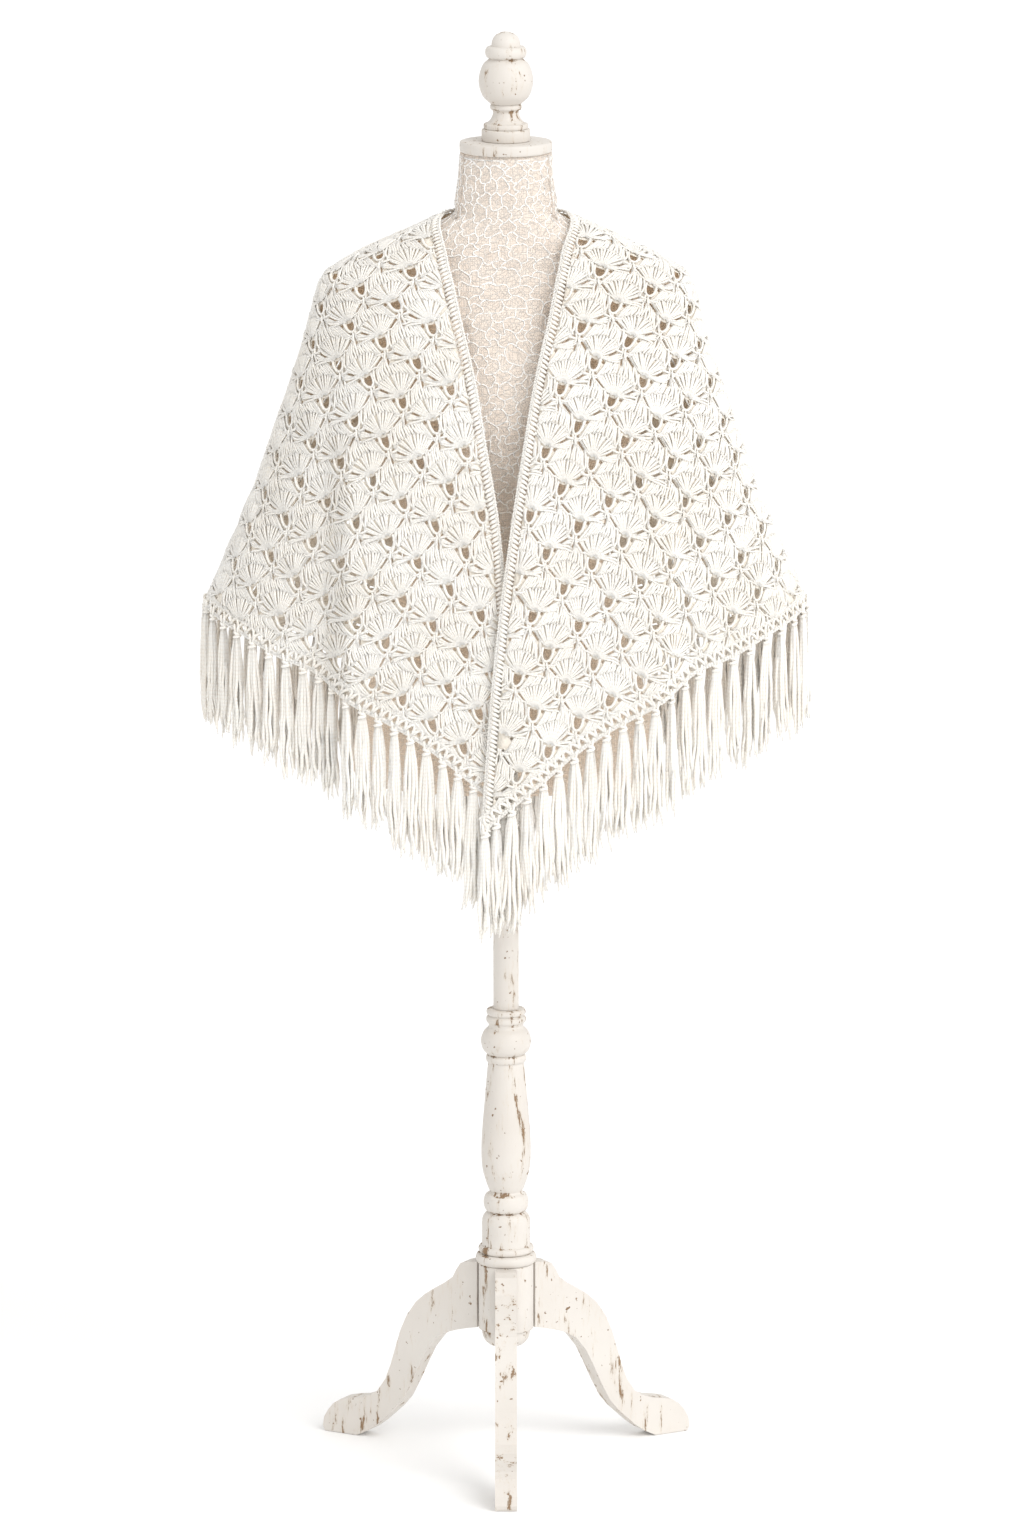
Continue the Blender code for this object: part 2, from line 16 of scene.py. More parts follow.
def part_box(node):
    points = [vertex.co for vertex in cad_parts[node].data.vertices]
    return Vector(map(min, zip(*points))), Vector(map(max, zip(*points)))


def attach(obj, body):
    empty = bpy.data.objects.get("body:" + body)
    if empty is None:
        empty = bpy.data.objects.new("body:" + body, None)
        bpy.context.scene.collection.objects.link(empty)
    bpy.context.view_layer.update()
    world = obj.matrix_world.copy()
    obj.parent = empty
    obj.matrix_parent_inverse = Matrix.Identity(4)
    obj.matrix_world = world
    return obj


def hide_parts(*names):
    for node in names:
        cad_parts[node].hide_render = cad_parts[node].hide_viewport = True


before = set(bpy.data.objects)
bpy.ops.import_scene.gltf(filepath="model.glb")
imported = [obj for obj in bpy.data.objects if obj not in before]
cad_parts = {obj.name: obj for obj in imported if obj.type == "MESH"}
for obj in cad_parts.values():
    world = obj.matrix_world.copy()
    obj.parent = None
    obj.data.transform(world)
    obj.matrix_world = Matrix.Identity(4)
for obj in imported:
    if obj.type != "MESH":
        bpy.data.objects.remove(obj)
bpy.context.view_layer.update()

# Places from the frame
POLE_LOW, POLE_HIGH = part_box("pole")
AXIS_Y = (POLE_LOW[1] + POLE_HIGH[1]) / 2

# Camera
CAMERA_BACK = 10.0
CAMERA_HEIGHT = 2.778
AIM_HEIGHT = 0.783
AIM_SIDE = 0.0066
LENS = 217.0
SENSOR = 36.0
THROUGH_ENERGY = 0.66
THROUGH_COLOR = (1.0, 0.78, 0.53)
FILL_ENERGY = 0.40

# Cloth, as in the solids
SEAM = 0.0003
NECK_HEIGHT = 1.397
DROP_EASE = 0.052
DROP_LENGTH = 0.072
SIDE_EASE = 0.28
FOLD_DEPTH = 0.030
FOLD_INNER = 0.165
FOLD_OUTER = 0.195
LAP_DEPTH = 0.010
OUTLINE_STEP = 0.024
BAND_WIDTH = 0.010
TASSEL_PITCH = 0.0215
FIRST_HOLE = np.array([0.0764, 0.4750])
STEP_IN = np.array([-0.0325, 0.0272])
STEP_OUT = np.array([0.0169, 0.0395])
FAN_STEP = STEP_IN + STEP_OUT
FAN_DOWN = FAN_STEP / np.linalg.norm(FAN_STEP)
FAN_ACROSS = np.array([FAN_DOWN[1], -FAN_DOWN[0]])

# Yarn
GROUND_LIFT = 0.0004
GROUND_THICK = 0.0008
PLY_PITCH = 0.0042
EDGE_STITCH = 0.0048
FINE = 25
RAY_COUNT = 20
RAY_FROM = -62.0
RAY_TO = 82.0
RAY_START = 0.0018
RAY_END = 0.0268
APEX_UP = 0.0065
POST_COUNT = 16
POST_FROM = 0.0245
POST_SPREAD = 0.0236
POST_DRAW_IN = 0.62
POST_TOP = 0.0525
POST_LEAN = 0.0012
BEND_REACH = 3.2
HEM_NET = 0.0150
LOOSE = 0.0011
LACE_CELL = 0.0115
WAVES = 5
COVER_LIFT = 0.0004


def table(columns, rows):
    """A table with named columns."""
    return dict(zip(columns.split(), np.array(rows, dtype=float).T))


CLOTH = table("height half_width cut_width front_depth back_depth", (
    (1.397, 0.066, 0.066, 0.056, 0.060),
    (1.366, 0.132, 0.132, 0.068, 0.074),
    (1.346, 0.175, 0.175, 0.076, 0.081),
    (1.334, 0.194, 0.197, 0.080, 0.084),
    (1.320, 0.202, 0.206, 0.088, 0.090),
    (1.298, 0.208, 0.217, 0.099, 0.097),
    (1.250, 0.220, 0.240, 0.118, 0.104),
    (1.180, 0.244, 0.273, 0.132, 0.110),
    (1.100, 0.271, 0.311, 0.140, 0.120),
    (0.966, 0.328, 0.375, 0.150, 0.138),
    (0.850, 0.372, 0.431, 0.158, 0.150),
    (0.740, 0.412, 0.483, 0.165, 0.160),
))
FRONT_EDGE = table("down right_out left_out", (
    (0.000, 0.066, 0.066),
    (0.060, 0.052, 0.056),
    (0.150, 0.041, 0.043),
    (0.220, 0.028, 0.030),
    (0.280, 0.019, 0.021),
    (0.360, 0.007, 0.008),
    (0.403, 0.001, 0.003),
    (0.446, -0.005, 0.000),
    (0.540, -0.015, -0.006),
    (0.630, -0.022, -0.012),
    (0.705, -0.027, -0.015),
))
HEM = table("out down", (
    (-0.030, 0.702),
    (0.000, 0.677),
    (0.067, 0.622),
    (0.160, 0.552),
    (0.210, 0.503),
    (0.285, 0.466),
    (0.375, 0.431),
))
FORM = table("height half_width front_depth back_depth", (
    (1.4657, 0.0495, 0.0460, 0.0480),
    (1.4400, 0.0510, 0.0460, 0.0490),
    (1.4130, 0.0550, 0.0470, 0.0510),
    (1.3950, 0.0610, 0.0490, 0.0530),
    (1.3660, 0.1285, 0.0530, 0.0590),
    (1.3460, 0.1705, 0.0560, 0.0620),
    (1.3340, 0.1885, 0.0600, 0.0650),
    (1.3200, 0.1940, 0.0650, 0.0690),
    (1.2980, 0.1920, 0.0750, 0.0750),
    (1.2700, 0.1840, 0.0870, 0.0820),
    (1.2300, 0.1700, 0.1020, 0.0900),
    (1.1800, 0.1520, 0.1130, 0.0940),
    (1.1000, 0.1300, 0.1050, 0.0880),
    (1.0000, 0.1120, 0.0850, 0.0800),
    (0.9200, 0.1340, 0.0950, 0.0980),
    (0.8500, 0.1600, 0.1100, 0.1150),
    (0.7900, 0.1690, 0.1130, 0.1190),
    (0.7730, 0.1650, 0.1100, 0.1160),
))

ARC_ANGLE = np.linspace(-1.2, 2.6, 400)
ARC_BULGE = 0.1753
ARC_SHARE = (ARC_ANGLE + ARC_BULGE * np.sin(2 * ARC_ANGLE)) / (math.pi / 2)


def ease(start, end, value):
    """0 at start, 1 at end, smooth between."""
    share = np.clip((value - start) / (end - start), 0, 1)
    return share * share * (3 - 2 * share)


def at_height(rings, column, height):
    return np.interp(-height, -rings["height"], rings[column])


def crease_down(out):
    """The shoulder and side line in the flat cut."""
    return NECK_HEIGHT - np.interp(out, CLOTH["cut_width"], CLOTH["height"])


def hem_down(out):
    return np.interp(out, HEM["out"], HEM["down"])


def hang(out, down, front, lap):
    """Hang flat points on the form, on the +X half, as an array of points."""
    crease_height = np.interp(out, CLOTH["cut_width"], CLOTH["height"])
    below = down - (NECK_HEIGHT - crease_height)
    side = 1 - (1 - SIDE_EASE) * ease(0.080, 0.260, out)
    height = crease_height - below + DROP_EASE * side * (1 - np.exp(-below / DROP_LENGTH))
    angle = np.interp(out / at_height(CLOTH, "cut_width", height), ARC_SHARE, ARC_ANGLE)
    x = at_height(CLOTH, "half_width", height) * np.sin(angle)
    depth = at_height(CLOTH, "front_depth" if front else "back_depth", height) * np.cos(angle)
    if front:
        depth = depth + FOLD_DEPTH * ease(1.30, 0.98, height) * (1 - ease(FOLD_INNER, FOLD_OUTER, x))
        if lap:
            depth = depth + LAP_DEPTH * ease(1.110, 1.060, height) * (1 - ease(0.022, 0.070, x))
    return np.stack([x, -depth if front else depth, height], axis=-1)


class Panel:
    """One of the four crochet panels: which half it hangs on, and how to place its points."""

    def __init__(self, name, side, front):
        self.name = name
        self.side = side
        self.front = front
        self.lap = front and side > 0

    def place(self, flat, lift):
        """World points of flat points, moved out of the cloth by lift, and the way out there."""
        shape = flat.shape[:-1]
        flat = np.reshape(flat, (-1, 2))
        out, down = flat[:, 0], flat[:, 1]
        step = 0.0010

        def at(shift_out, shift_down):
            return hang(out + shift_out, down + shift_down, self.front, self.lap)

        along = at(step, 0) - at(-step, 0)
        fall = at(0, step) - at(0, -step)
        normal = np.cross(along, fall) * (-1 if self.front else 1)
        normal[np.abs(down - crease_down(out)) < 1e-6, 1] = 0
        normal /= np.linalg.norm(normal, axis=1)[:, None]
        points = at(0, 0) + normal * np.reshape(np.broadcast_to(lift, shape), (-1, 1))
        points[:, 1] += -SEAM / 2 if self.front else SEAM / 2
        if not self.front:
            points[:, 0] += SEAM / 2
        points[:, 0] *= self.side
        normal[:, 0] *= self.side
        points[:, 1] += AXIS_Y
        return points.reshape(*shape, 3), normal.reshape(*shape, 3)


PANELS = [
    Panel("front_left", -1, True),
    Panel("front_right", 1, True),
    Panel("back_left", -1, False),
    Panel("back_right", 1, False),
]


def evenly(line, step):
    """Points at even steps along a flat line, both ends kept."""
    line = np.asarray(line, dtype=float)
    lengths = np.concatenate([[0], np.cumsum(np.linalg.norm(np.diff(line, axis=0), axis=1))])
    count = max(2, int(round(lengths[-1] / step)) + 1)
    places = np.linspace(0, lengths[-1], count)
    return np.stack([np.interp(places, lengths, line[:, k]) for k in (0, 1)], axis=1)


def side_of(line):
    """Unit vectors to the +out side of a flat line that runs down."""
    run = np.gradient(line, axis=0)
    run /= np.linalg.norm(run, axis=1)[:, None]
    return np.stack([run[:, 1], -run[:, 0]], axis=1)


def front_edge(panel, step=OUTLINE_STEP):
    """The free front edge, neck to hem, with the direction into the panel at each point."""
    column = "right_out" if panel.side > 0 else "left_out"
    last = FRONT_EDGE[column][-1]
    downs = np.linspace(0, hem_down(last), 60)
    line = evenly(np.stack([np.interp(downs, FRONT_EDGE["down"], FRONT_EDGE[column]), downs], axis=1), step)
    inward = side_of(line)
    ridge = np.array([0.133, crease_down(0.066 + 0.133)])
    inward[0] = ridge / np.linalg.norm(ridge)
    start = line[-1]
    along_hem = np.array([0.05, hem_down(start[0] + 0.05) - start[1]])
    inward[-1] = along_hem / np.linalg.norm(along_hem)
    return line, inward


def panel_lines(panel):
    """The edges of a panel in the flat cut: inner edge, hem, crease and, at the back, middle."""
    inset = BAND_WIDTH + SEAM
    edge, inward = front_edge(panel)
    edge = edge + inset * inward
    crease_outs = np.linspace(edge[0, 0], HEM["out"][-1], 40)
    crease = np.stack([crease_outs, crease_down(crease_outs)], axis=1)
    hem_from = edge[-1, 0] if panel.front else 0.0
    hem_outs = np.linspace(hem_from, HEM["out"][-1], 80)
    hem = evenly(np.stack([hem_outs, hem_down(hem_outs)], axis=1), TASSEL_PITCH / 2)
    hem[-1] = crease[-1]
    if panel.front:
        hem[0] = edge[-1]
        return edge, hem, crease, None
    neck = np.stack([np.linspace(edge[0, 0], 0.0, 8), np.full(8, inset)], axis=1)
    neck[0] = edge[0]
    middle = evenly([neck[-1], hem[0]], OUTLINE_STEP)
    return neck, hem, crease, middle


def panel_outline(panel):
    edge, hem, crease, middle = panel_lines(panel)
    if panel.front:
        return np.concatenate([edge, hem[1:], crease[-2:0:-1]])
    return np.concatenate([edge, middle[1:], hem[1:], crease[-2:0:-1]])


def inside(polygon, points):
    """Which flat points lie in a flat polygon."""
    x, y = points[..., 0], points[..., 1]
    found = np.zeros(x.shape, dtype=bool)
    for (ax, ay), (bx, by) in zip(polygon, np.roll(polygon, -1, axis=0)):
        if ay != by:
            found ^= ((ay > y) != (by > y)) & (x < (bx - ax) * (y - ay) / (by - ay) + ax)
    return found


def clearance(polygon, points):
    """The distance from flat points to a polygon's nearest side."""
    ends = np.roll(polygon, -1, axis=0)
    run = ends - polygon
    gap = points[..., None, :] - polygon
    share = np.clip((gap * run).sum(-1) / (run * run).sum(-1), 0, 1)
    return np.linalg.norm(gap - run * share[..., None], axis=-1).min(-1)


# Mesh making


def add_mesh(name, points, faces_by_size, uvs=None, smooth=True):
    """A mesh object from points and arrays of faces, one array for each face size."""
    loops = np.concatenate([f.ravel() for f in faces_by_size])
    totals = np.concatenate([np.full(len(f), f.shape[1]) for f in faces_by_size])
    starts = np.concatenate([[0], np.cumsum(totals)[:-1]])
    mesh = bpy.data.meshes.new(name)
    mesh.vertices.add(len(points))
    mesh.vertices.foreach_set("co", np.asarray(points, dtype=np.float32).ravel())
    mesh.loops.add(len(loops))
    mesh.loops.foreach_set("vertex_index", loops.astype(np.int32))
    mesh.polygons.add(len(starts))
    mesh.polygons.foreach_set("loop_start", starts.astype(np.int32))
    mesh.update(calc_edges=True)
    if uvs is not None:
        layer = mesh.uv_layers.new(name="UVMap")
        layer.data.foreach_set("uv", np.asarray(uvs, dtype=np.float32).ravel())
    if smooth:
        mesh.polygons.foreach_set("use_smooth", np.ones(len(starts), dtype=bool))
    mesh.validate()
    obj = bpy.data.objects.new(name, mesh)
    bpy.context.scene.collection.objects.link(obj)
    return obj


def tube_arrays(paths, outs, radii, sides, first):
    """Vertices, quads, caps and UVs of tubes. paths and outs are tubes x points x 3."""
    tubes, count = paths.shape[:2]
    run = np.gradient(paths, axis=1)
    run /= np.maximum(np.linalg.norm(run, axis=2), 1e-9)[..., None]
    across = np.cross(run, outs)
    across /= np.maximum(np.linalg.norm(across, axis=2), 1e-9)[..., None]
    proud = np.cross(across, run)
    turn = 2 * math.pi * np.arange(sides) / sides
    ring = (across[:, :, None] * np.cos(turn)[:, None] + proud[:, :, None] * np.sin(turn)[:, None])
    points = paths[:, :, None] + ring * radii[:, :, None, None]
    index = first + np.arange(tubes * count * sides).reshape(tubes, count, sides)
    nxt = np.roll(index, -1, axis=2)
    quads = np.stack([index[:, :-1], nxt[:, :-1], nxt[:, 1:], index[:, 1:]], axis=-1)
    caps = np.concatenate([index[:, 0, ::-1], index[:, -1]])
    length = np.concatenate([np.zeros((tubes, 1)), np.cumsum(np.linalg.norm(np.diff(paths, axis=1), axis=2), axis=1)],
                            axis=1) / PLY_PITCH
    share = np.arange(sides + 1) / sides
    low = np.broadcast_to(length[:, :-1, None], quads.shape[:3])
    high = np.broadcast_to(length[:, 1:, None], quads.shape[:3])
    left = np.broadcast_to(share[:-1], quads.shape[:3])
    right = np.broadcast_to(share[1:], quads.shape[:3])
    uv = np.stack([np.stack([low + left, left], -1), np.stack([low + right, right], -1),
                   np.stack([high + right, right], -1), np.stack([high + left, left], -1)], axis=-2)
    return points.reshape(-1, 3), quads.reshape(-1, 4), caps, uv.reshape(-1, 2)


def add_tubes(name, groups):
    """One mesh of many yarn tubes. A group is (paths, outs, radii, sides)."""
    points, quads, caps, uvs = [], [], {}, []
    first = 0
    for paths, outs, radii, sides in groups:
        if not len(paths):
            continue
        p, q, c, uv = tube_arrays(paths, outs, radii, sides, first)
        points.append(p)
        quads.append(q)
        uvs.append(uv)
        caps.setdefault(sides, []).append(c)
        first += len(p)
    cap_faces = [np.concatenate(c) for c in caps.values()]
    cap_uvs = np.zeros((sum(f.size for f in cap_faces), 2))
    return add_mesh(name, np.concatenate(points), [np.concatenate(quads)] + cap_faces,
                    np.concatenate(uvs + [cap_uvs]))


# Materials


class Nodes:
    """A material's node tree, with short ways to add nodes and links."""

    def __init__(self, name):
        self.material = bpy.data.materials.new(name)
        self.material.use_nodes = True
        self.tree = self.material.node_tree
        self.shader = self.tree.nodes["Principled BSDF"]

    def add(self, kind, inputs=(), **settings):
        node = self.tree.nodes.new(kind)
        for key, value in settings.items():
            setattr(node, key, value)
        for key, value in dict(inputs).items():
            if isinstance(value, bpy.types.NodeSocket):
                self.tree.links.new(value, node.inputs[key])
            else:
                node.inputs[key].default_value = value
        return node

    def ramp(self, source, stops):
        node = self.add("ShaderNodeValToRGB", {"Fac": source})
        elements = node.color_ramp.elements
        while len(elements) < len(stops):
            elements.new(0.5)
        for element, (place, color) in zip(elements, stops):
            element.position = place
            element.color = color if len(color) == 4 else (*color, 1.0)
        return node.outputs["Color"]

    def mix(self, share, first, second, blend="MIX"):
        node = self.add("ShaderNodeMix", {}, data_type="RGBA", blend_type=blend)
        for key, value in ((0, share), (6, first), (7, second)):
            if isinstance(value, bpy.types.NodeSocket):
                self.tree.links.new(value, node.inputs[key])
            else:
                node.inputs[key].default_value = value if key == 0 else (*value, 1.0)
        return node.outputs[2]

    def math(self, operation, first, second=0.0):
        node = self.add("ShaderNodeMath", {0: first, 1: second}, operation=operation)
        return node.outputs[0]

    def bump(self, height, distance, strength=1.0, below=None):
        inputs = {"Height": height, "Distance": distance, "Strength": strength}
        if below is not None:
            inputs["Normal"] = below
        return self.add("ShaderNodeBump", inputs).outputs["Normal"]

    def set(self, **values):
        for key, value in values.items():
            socket = self.shader.inputs[key.replace("_", " ")]
            if isinstance(value, bpy.types.NodeSocket):
                self.tree.links.new(value, socket)
            else:
                socket.default_value = value


def grey(value):
    return (value, value, value)


def yarn_material(name, light, shade):
    """Plied yarn: twist along each tube, with painted shade in its furrows, fuzz and slight unevenness of colour."""
    m = Nodes(name)
    uv = m.add("ShaderNodeTexCoord").outputs
    twist = m.add("ShaderNodeTexWave", {"Vector": uv["UV"], "Scale": 0.31416, "Distortion": 0.6,
                                        "Detail": 1.0, "Detail Scale": 2.0}, bands_direction="X")
    patches = m.add("ShaderNodeTexNoise", {"Vector": uv["Object"], "Scale": 14.0, "Detail": 3.0})
    fibres = m.add("ShaderNodeTexNoise", {"Vector": uv["Object"], "Scale": 900.0, "Detail": 2.0})
    base = m.mix(m.ramp(patches.outputs["Fac"], ((0.35, grey(0)), (0.65, grey(1)))), light, shade)
    # Colour darkened in the twist's furrows: painted shade between the plies.
    painted_furrow_shade = m.ramp(twist.outputs["Fac"], ((0.0, (0.93, 0.90, 0.86)), (0.45, grey(1.0))))
    color = m.mix(0.55, base, painted_furrow_shade, "MULTIPLY")
    normal = m.bump(fibres.outputs["Fac"], 0.0004, 0.35)
    normal = m.bump(twist.outputs["Fac"], 0.0005, 0.45, normal)
    m.set(Base_Color=color, Roughness=0.92, Normal=normal, Sheen_Weight=0.35, Sheen_Roughness=0.5,
          Specular_IOR_Level=0.2, Subsurface_Weight=0.40, Subsurface_Radius=(1.0, 0.97, 0.92),
          Subsurface_Scale=0.002)
    return m.material


def ground_material():
    """The tight small stitches behind the fans, coloured darker and warmer than the yarn: painted shade in the creases
    between the yarns.
    """
    m = Nodes("crochet_ground_painted_shade")
    uv = m.add("ShaderNodeTexCoord").outputs
    loops = m.add("ShaderNodeTexVoronoi", {"Vector": uv["Object"], "Scale": 420.0})
    patches = m.add("ShaderNodeTexNoise", {"Vector": uv["Object"], "Scale": 30.0, "Detail": 2.0})
    # Darker, warmer tan than the yarn: the stitches' own colour with painted shade for the creases between the yarns.
    color = m.mix(patches.outputs["Fac"], (0.89, 0.835, 0.75), (0.84, 0.775, 0.68))
    m.set(Base_Color=color, Roughness=0.95, Normal=m.bump(loops.outputs["Distance"], 0.001, 0.7),
          Sheen_Weight=0.2, Specular_IOR_Level=0.1, Subsurface_Weight=0.40,
          Subsurface_Radius=(1.0, 0.97, 0.92), Subsurface_Scale=0.002)
    return m.material


def linen_material():
    """Beige linen of the form under a pale net lace: a square weave with painted shade in its low places, slubs, and
    wandering raised threads.
    """
    m = Nodes("linen_and_lace_cover")
    place = m.add("ShaderNodeTexCoord").outputs["Object"]
    across = m.add("ShaderNodeTexWave", {"Vector": place, "Scale": 130.0, "Distortion": 1.2, "Detail": 2.0},
                   bands_direction="X")
    along = m.add("ShaderNodeTexWave", {"Vector": place, "Scale": 130.0, "Distortion": 1.2, "Detail": 2.0},
                  bands_direction="Z")
    weave = m.math("MULTIPLY", across.outputs["Fac"], along.outputs["Fac"])
    slubs = m.add("ShaderNodeTexNoise", {"Vector": place, "Scale": 60.0, "Detail": 4.0, "Roughness": 0.7})
    base = m.mix(m.ramp(slubs.outputs["Fac"], ((0.35, grey(0)), (0.7, grey(1)))),
                 (0.74, 0.64, 0.555), (0.82, 0.73, 0.645))
    # The low places of the weave are darkened: painted shade between the threads.
    base = m.mix(0.5, base, m.ramp(weave, ((0.0, grey(0.72)), (0.4, grey(1.0)))), "MULTIPLY")
    swirl = m.add("ShaderNodeTexNoise", {"Vector": place, "Scale": 34.0, "Detail": 1.0}).outputs["Color"]
    bent = m.add("ShaderNodeVectorMath", {0: swirl, 1: (0.020, 0.020, 0.020)}, operation="MULTIPLY").outputs[0]
    bent = m.add("ShaderNodeVectorMath", {0: place, 1: bent}, operation="ADD").outputs[0]
    bent = m.add("ShaderNodeMapping", {"Vector": bent, "Rotation": (math.pi / 2, 0.0, 0.0)}).outputs[0]
    net = None
    for scale, width in ((120.0, 0.030), (230.0, 0.045)):
        cells = m.add("ShaderNodeTexVoronoi", {"Vector": bent, "Scale": scale}, voronoi_dimensions="2D",
                      feature="DISTANCE_TO_EDGE")
        threads = m.ramp(cells.outputs["Distance"], ((width * 0.55, grey(1)), (width * 1.5, grey(0))))
        net = threads if net is None else m.math("MAXIMUM", net, m.math("MULTIPLY", threads, 0.7))
    color = m.mix(m.math("MULTIPLY", net, 0.6), base, (0.93, 0.90, 0.86))
    normal = m.bump(net, 0.0010, 0.9, m.bump(weave, 0.0004, 0.6))
    m.set(Base_Color=color, Roughness=0.9, Normal=normal, Sheen_Weight=0.15, Specular_IOR_Level=0.15)
    return m.material


def paint_material(name, wear):
    """Chalky white paint over brown wood. wear is how much of it is rubbed away."""
    m = Nodes(name)
    place = m.add("ShaderNodeTexCoord").outputs["Object"]
    grain_place = m.add("ShaderNodeMapping", {"Vector": place, "Scale": (9.0, 9.0, 1.6)}).outputs[0]
    rub = m.add("ShaderNodeTexNoise", {"Vector": grain_place, "Scale": 11.0, "Detail": 9.0, "Roughness": 0.72})
    brush = m.add("ShaderNodeTexNoise", {"Vector": grain_place, "Scale": 22.0, "Detail": 4.0})
    patches = m.add("ShaderNodeTexNoise", {"Vector": place, "Scale": 9.0, "Detail": 3.0})
    specks = m.add("ShaderNodeTexNoise", {"Vector": place, "Scale": 170.0, "Detail": 2.0})
    rubbed = m.ramp(rub.outputs["Fac"], ((wear, grey(0)), (wear + 0.025, grey(1))))
    dots = m.ramp(specks.outputs["Fac"], ((0.700, grey(0)), (0.730, grey(1))))
    bare = m.math("MAXIMUM", rubbed, dots)
    wood = m.mix(brush.outputs["Fac"], (0.16, 0.095, 0.05), (0.34, 0.23, 0.14))
    paint = m.mix(m.ramp(patches.outputs["Fac"], ((0.3, grey(0)), (0.7, grey(1)))),
                  (0.72, 0.685, 0.64), (0.665, 0.62, 0.57))
    halo = m.ramp(rub.outputs["Fac"], ((wear - 0.07, grey(0)), (wear, grey(1))))
    tinted = m.mix(m.math("MULTIPLY", halo, 0.35), paint, (0.62, 0.53, 0.42))
    color = m.mix(bare, tinted, wood)
    height = m.math("SUBTRACT", m.math("MULTIPLY", brush.outputs["Fac"], 0.35), bare)
    m.set(Base_Color=color, Roughness=m.ramp(bare, ((0.0, grey(0.52)), (1.0, grey(0.8)))),
          Normal=m.bump(height, 0.0006, 0.5), Specular_IOR_Level=0.35)
    return m.material


yarn = yarn_material("ivory_yarn", (0.94, 0.915, 0.87), (0.90, 0.862, 0.80))
fringe_yarn = yarn_material("fringe_yarn", (0.945, 0.918, 0.868), (0.91, 0.87, 0.81))
lace_thread = yarn_material("lace_thread", (0.97, 0.95, 0.92), (0.95, 0.92, 0.88))
ground = ground_material()
linen = linen_material()
paint = paint_material("worn_paint", 0.60)
worn_paint = paint_material("worn_paint_edges", 0.545)


def dress(obj, *materials):
    obj.data.materials.clear()
    for material in materials:
        obj.data.materials.append(material)


# One shell in its own frame: across is to the outer side, up is away from the hem, in metres


def from_apex(angle, radius):
    """Points at angles from up, in degrees, and distances from the fan's apex."""
    angle = np.radians(angle)
    return np.stack([radius * np.sin(angle), APEX_UP + radius * np.cos(angle)], axis=-1)


def fan_rays(rng):
    """The fan's yarns: paths, lifts and radii."""
    angles = np.linspace(RAY_FROM, RAY_TO, RAY_COUNT) + rng.normal(0, 0.9, RAY_COUNT)
    share = np.linspace(0, 1, FINE)
    reach = RAY_START + (RAY_END - RAY_START) * share * (1 + rng.normal(0, 0.035, (RAY_COUNT, 1)))
    bow = angles[:, None] + rng.normal(0, 2.0, (RAY_COUNT, 1)) * np.sin(math.pi * share)
    path = from_apex(bow, reach)
    lift = np.interp(share, (0, 0.2, 0.55, 0.85, 1), (0.0026, 0.0027, 0.0027, 0.0022, 0.0016))
    lift = lift + rng.normal(0, 0.00022, (RAY_COUNT, 1)) * share
    radius = np.interp(share, (0, 0.3, 0.65, 1), (0.0007, 0.0010, 0.0014, 0.0016))
    return path, lift, np.broadcast_to(radius, path.shape[:2])


def posts(rng):
    """The tall stitches over the fan, which draw together towards the knot above."""
    foot = np.linspace(-POST_SPREAD, POST_SPREAD, POST_COUNT) + rng.normal(0, 0.0003, POST_COUNT)
    top = POST_DRAW_IN * foot + POST_LEAN
    foot_up = APEX_UP + np.sqrt(np.maximum(POST_FROM ** 2 - foot ** 2, 0))
    top_up = np.where(top > 0, POST_TOP - 0.42 * top, POST_TOP - 0.0080 + 0.20 * top)
    share = np.linspace(0, 1, FINE)
    across = foot[:, None] * (1 - share) + top[:, None] * share
    across = across + (0.0007 + rng.normal(0, 0.0003, (POST_COUNT, 1))) * np.sin(math.pi * share)
    across = across + 0.0004 * np.sin(9.0 * share + rng.uniform(0, 6.3, (POST_COUNT, 1)))
    up = foot_up[:, None] * (1 - share) + top_up[:, None] * share
    path = np.stack([across, up], axis=-1)
    lift = 0.0018 + 0.0008 * np.sin(math.pi * share) + rng.normal(0, 0.00022, (POST_COUNT, 1))
    radius = np.interp(share, (0, 0.5, 1), (0.0014, 0.0015, 0.0012))
    return path, lift, np.broadcast_to(radius, path.shape[:2])


def thin_out(values, count):
    """An even few of the fine points of each path."""
    keep = np.round(np.linspace(0, FINE - 1, count)).astype(int)
    return values[:, keep]


def smooth_lines(lines, count, lift, thickness):
    """Curved yarns through a few points each."""
    paths = []
    for line in lines:
        line = np.array(line) * 0.001
        places = np.linspace(0, len(line) - 1, count)
        curve = np.stack([np.interp(places, np.arange(len(line)), line[:, k]) for k in (0, 1)], axis=1)
        inner = (curve[:-2] + 2 * curve[1:-1] + curve[2:]) / 4
        paths.append(np.concatenate([curve[:1], inner, curve[-1:]]))
    paths = np.array(paths)
    swell = np.sin(math.pi * np.linspace(0.1, 0.9, count))
    return paths, np.broadcast_to(lift * (0.75 + 0.35 * swell), paths.shape[:2]), np.full(paths.shape[:2], thickness)


# Millimetres in a shell's frame
HOLE_RIM = [(-5.6, 6.8), (-6.1, 2.0), (-5.4, -3.4), (-3.0, -8.0), (1.0, -8.6), (4.4, -5.4), (5.5, 1.0), (5.2, 7.0)]
STAR_ARMS = [
    [(0.6, -8.8), (0.1, -11.6), (2.6, -15.2), (4.2, -20.0)],
    [(0.8, -11.6), (4.2, -12.6), (7.4, -12.2), (10.6, -10.6)],
    [(-0.4, -12.6), (-4.4, -13.0), (-7.8, -11.8), (-10.8, -12.2)],
]
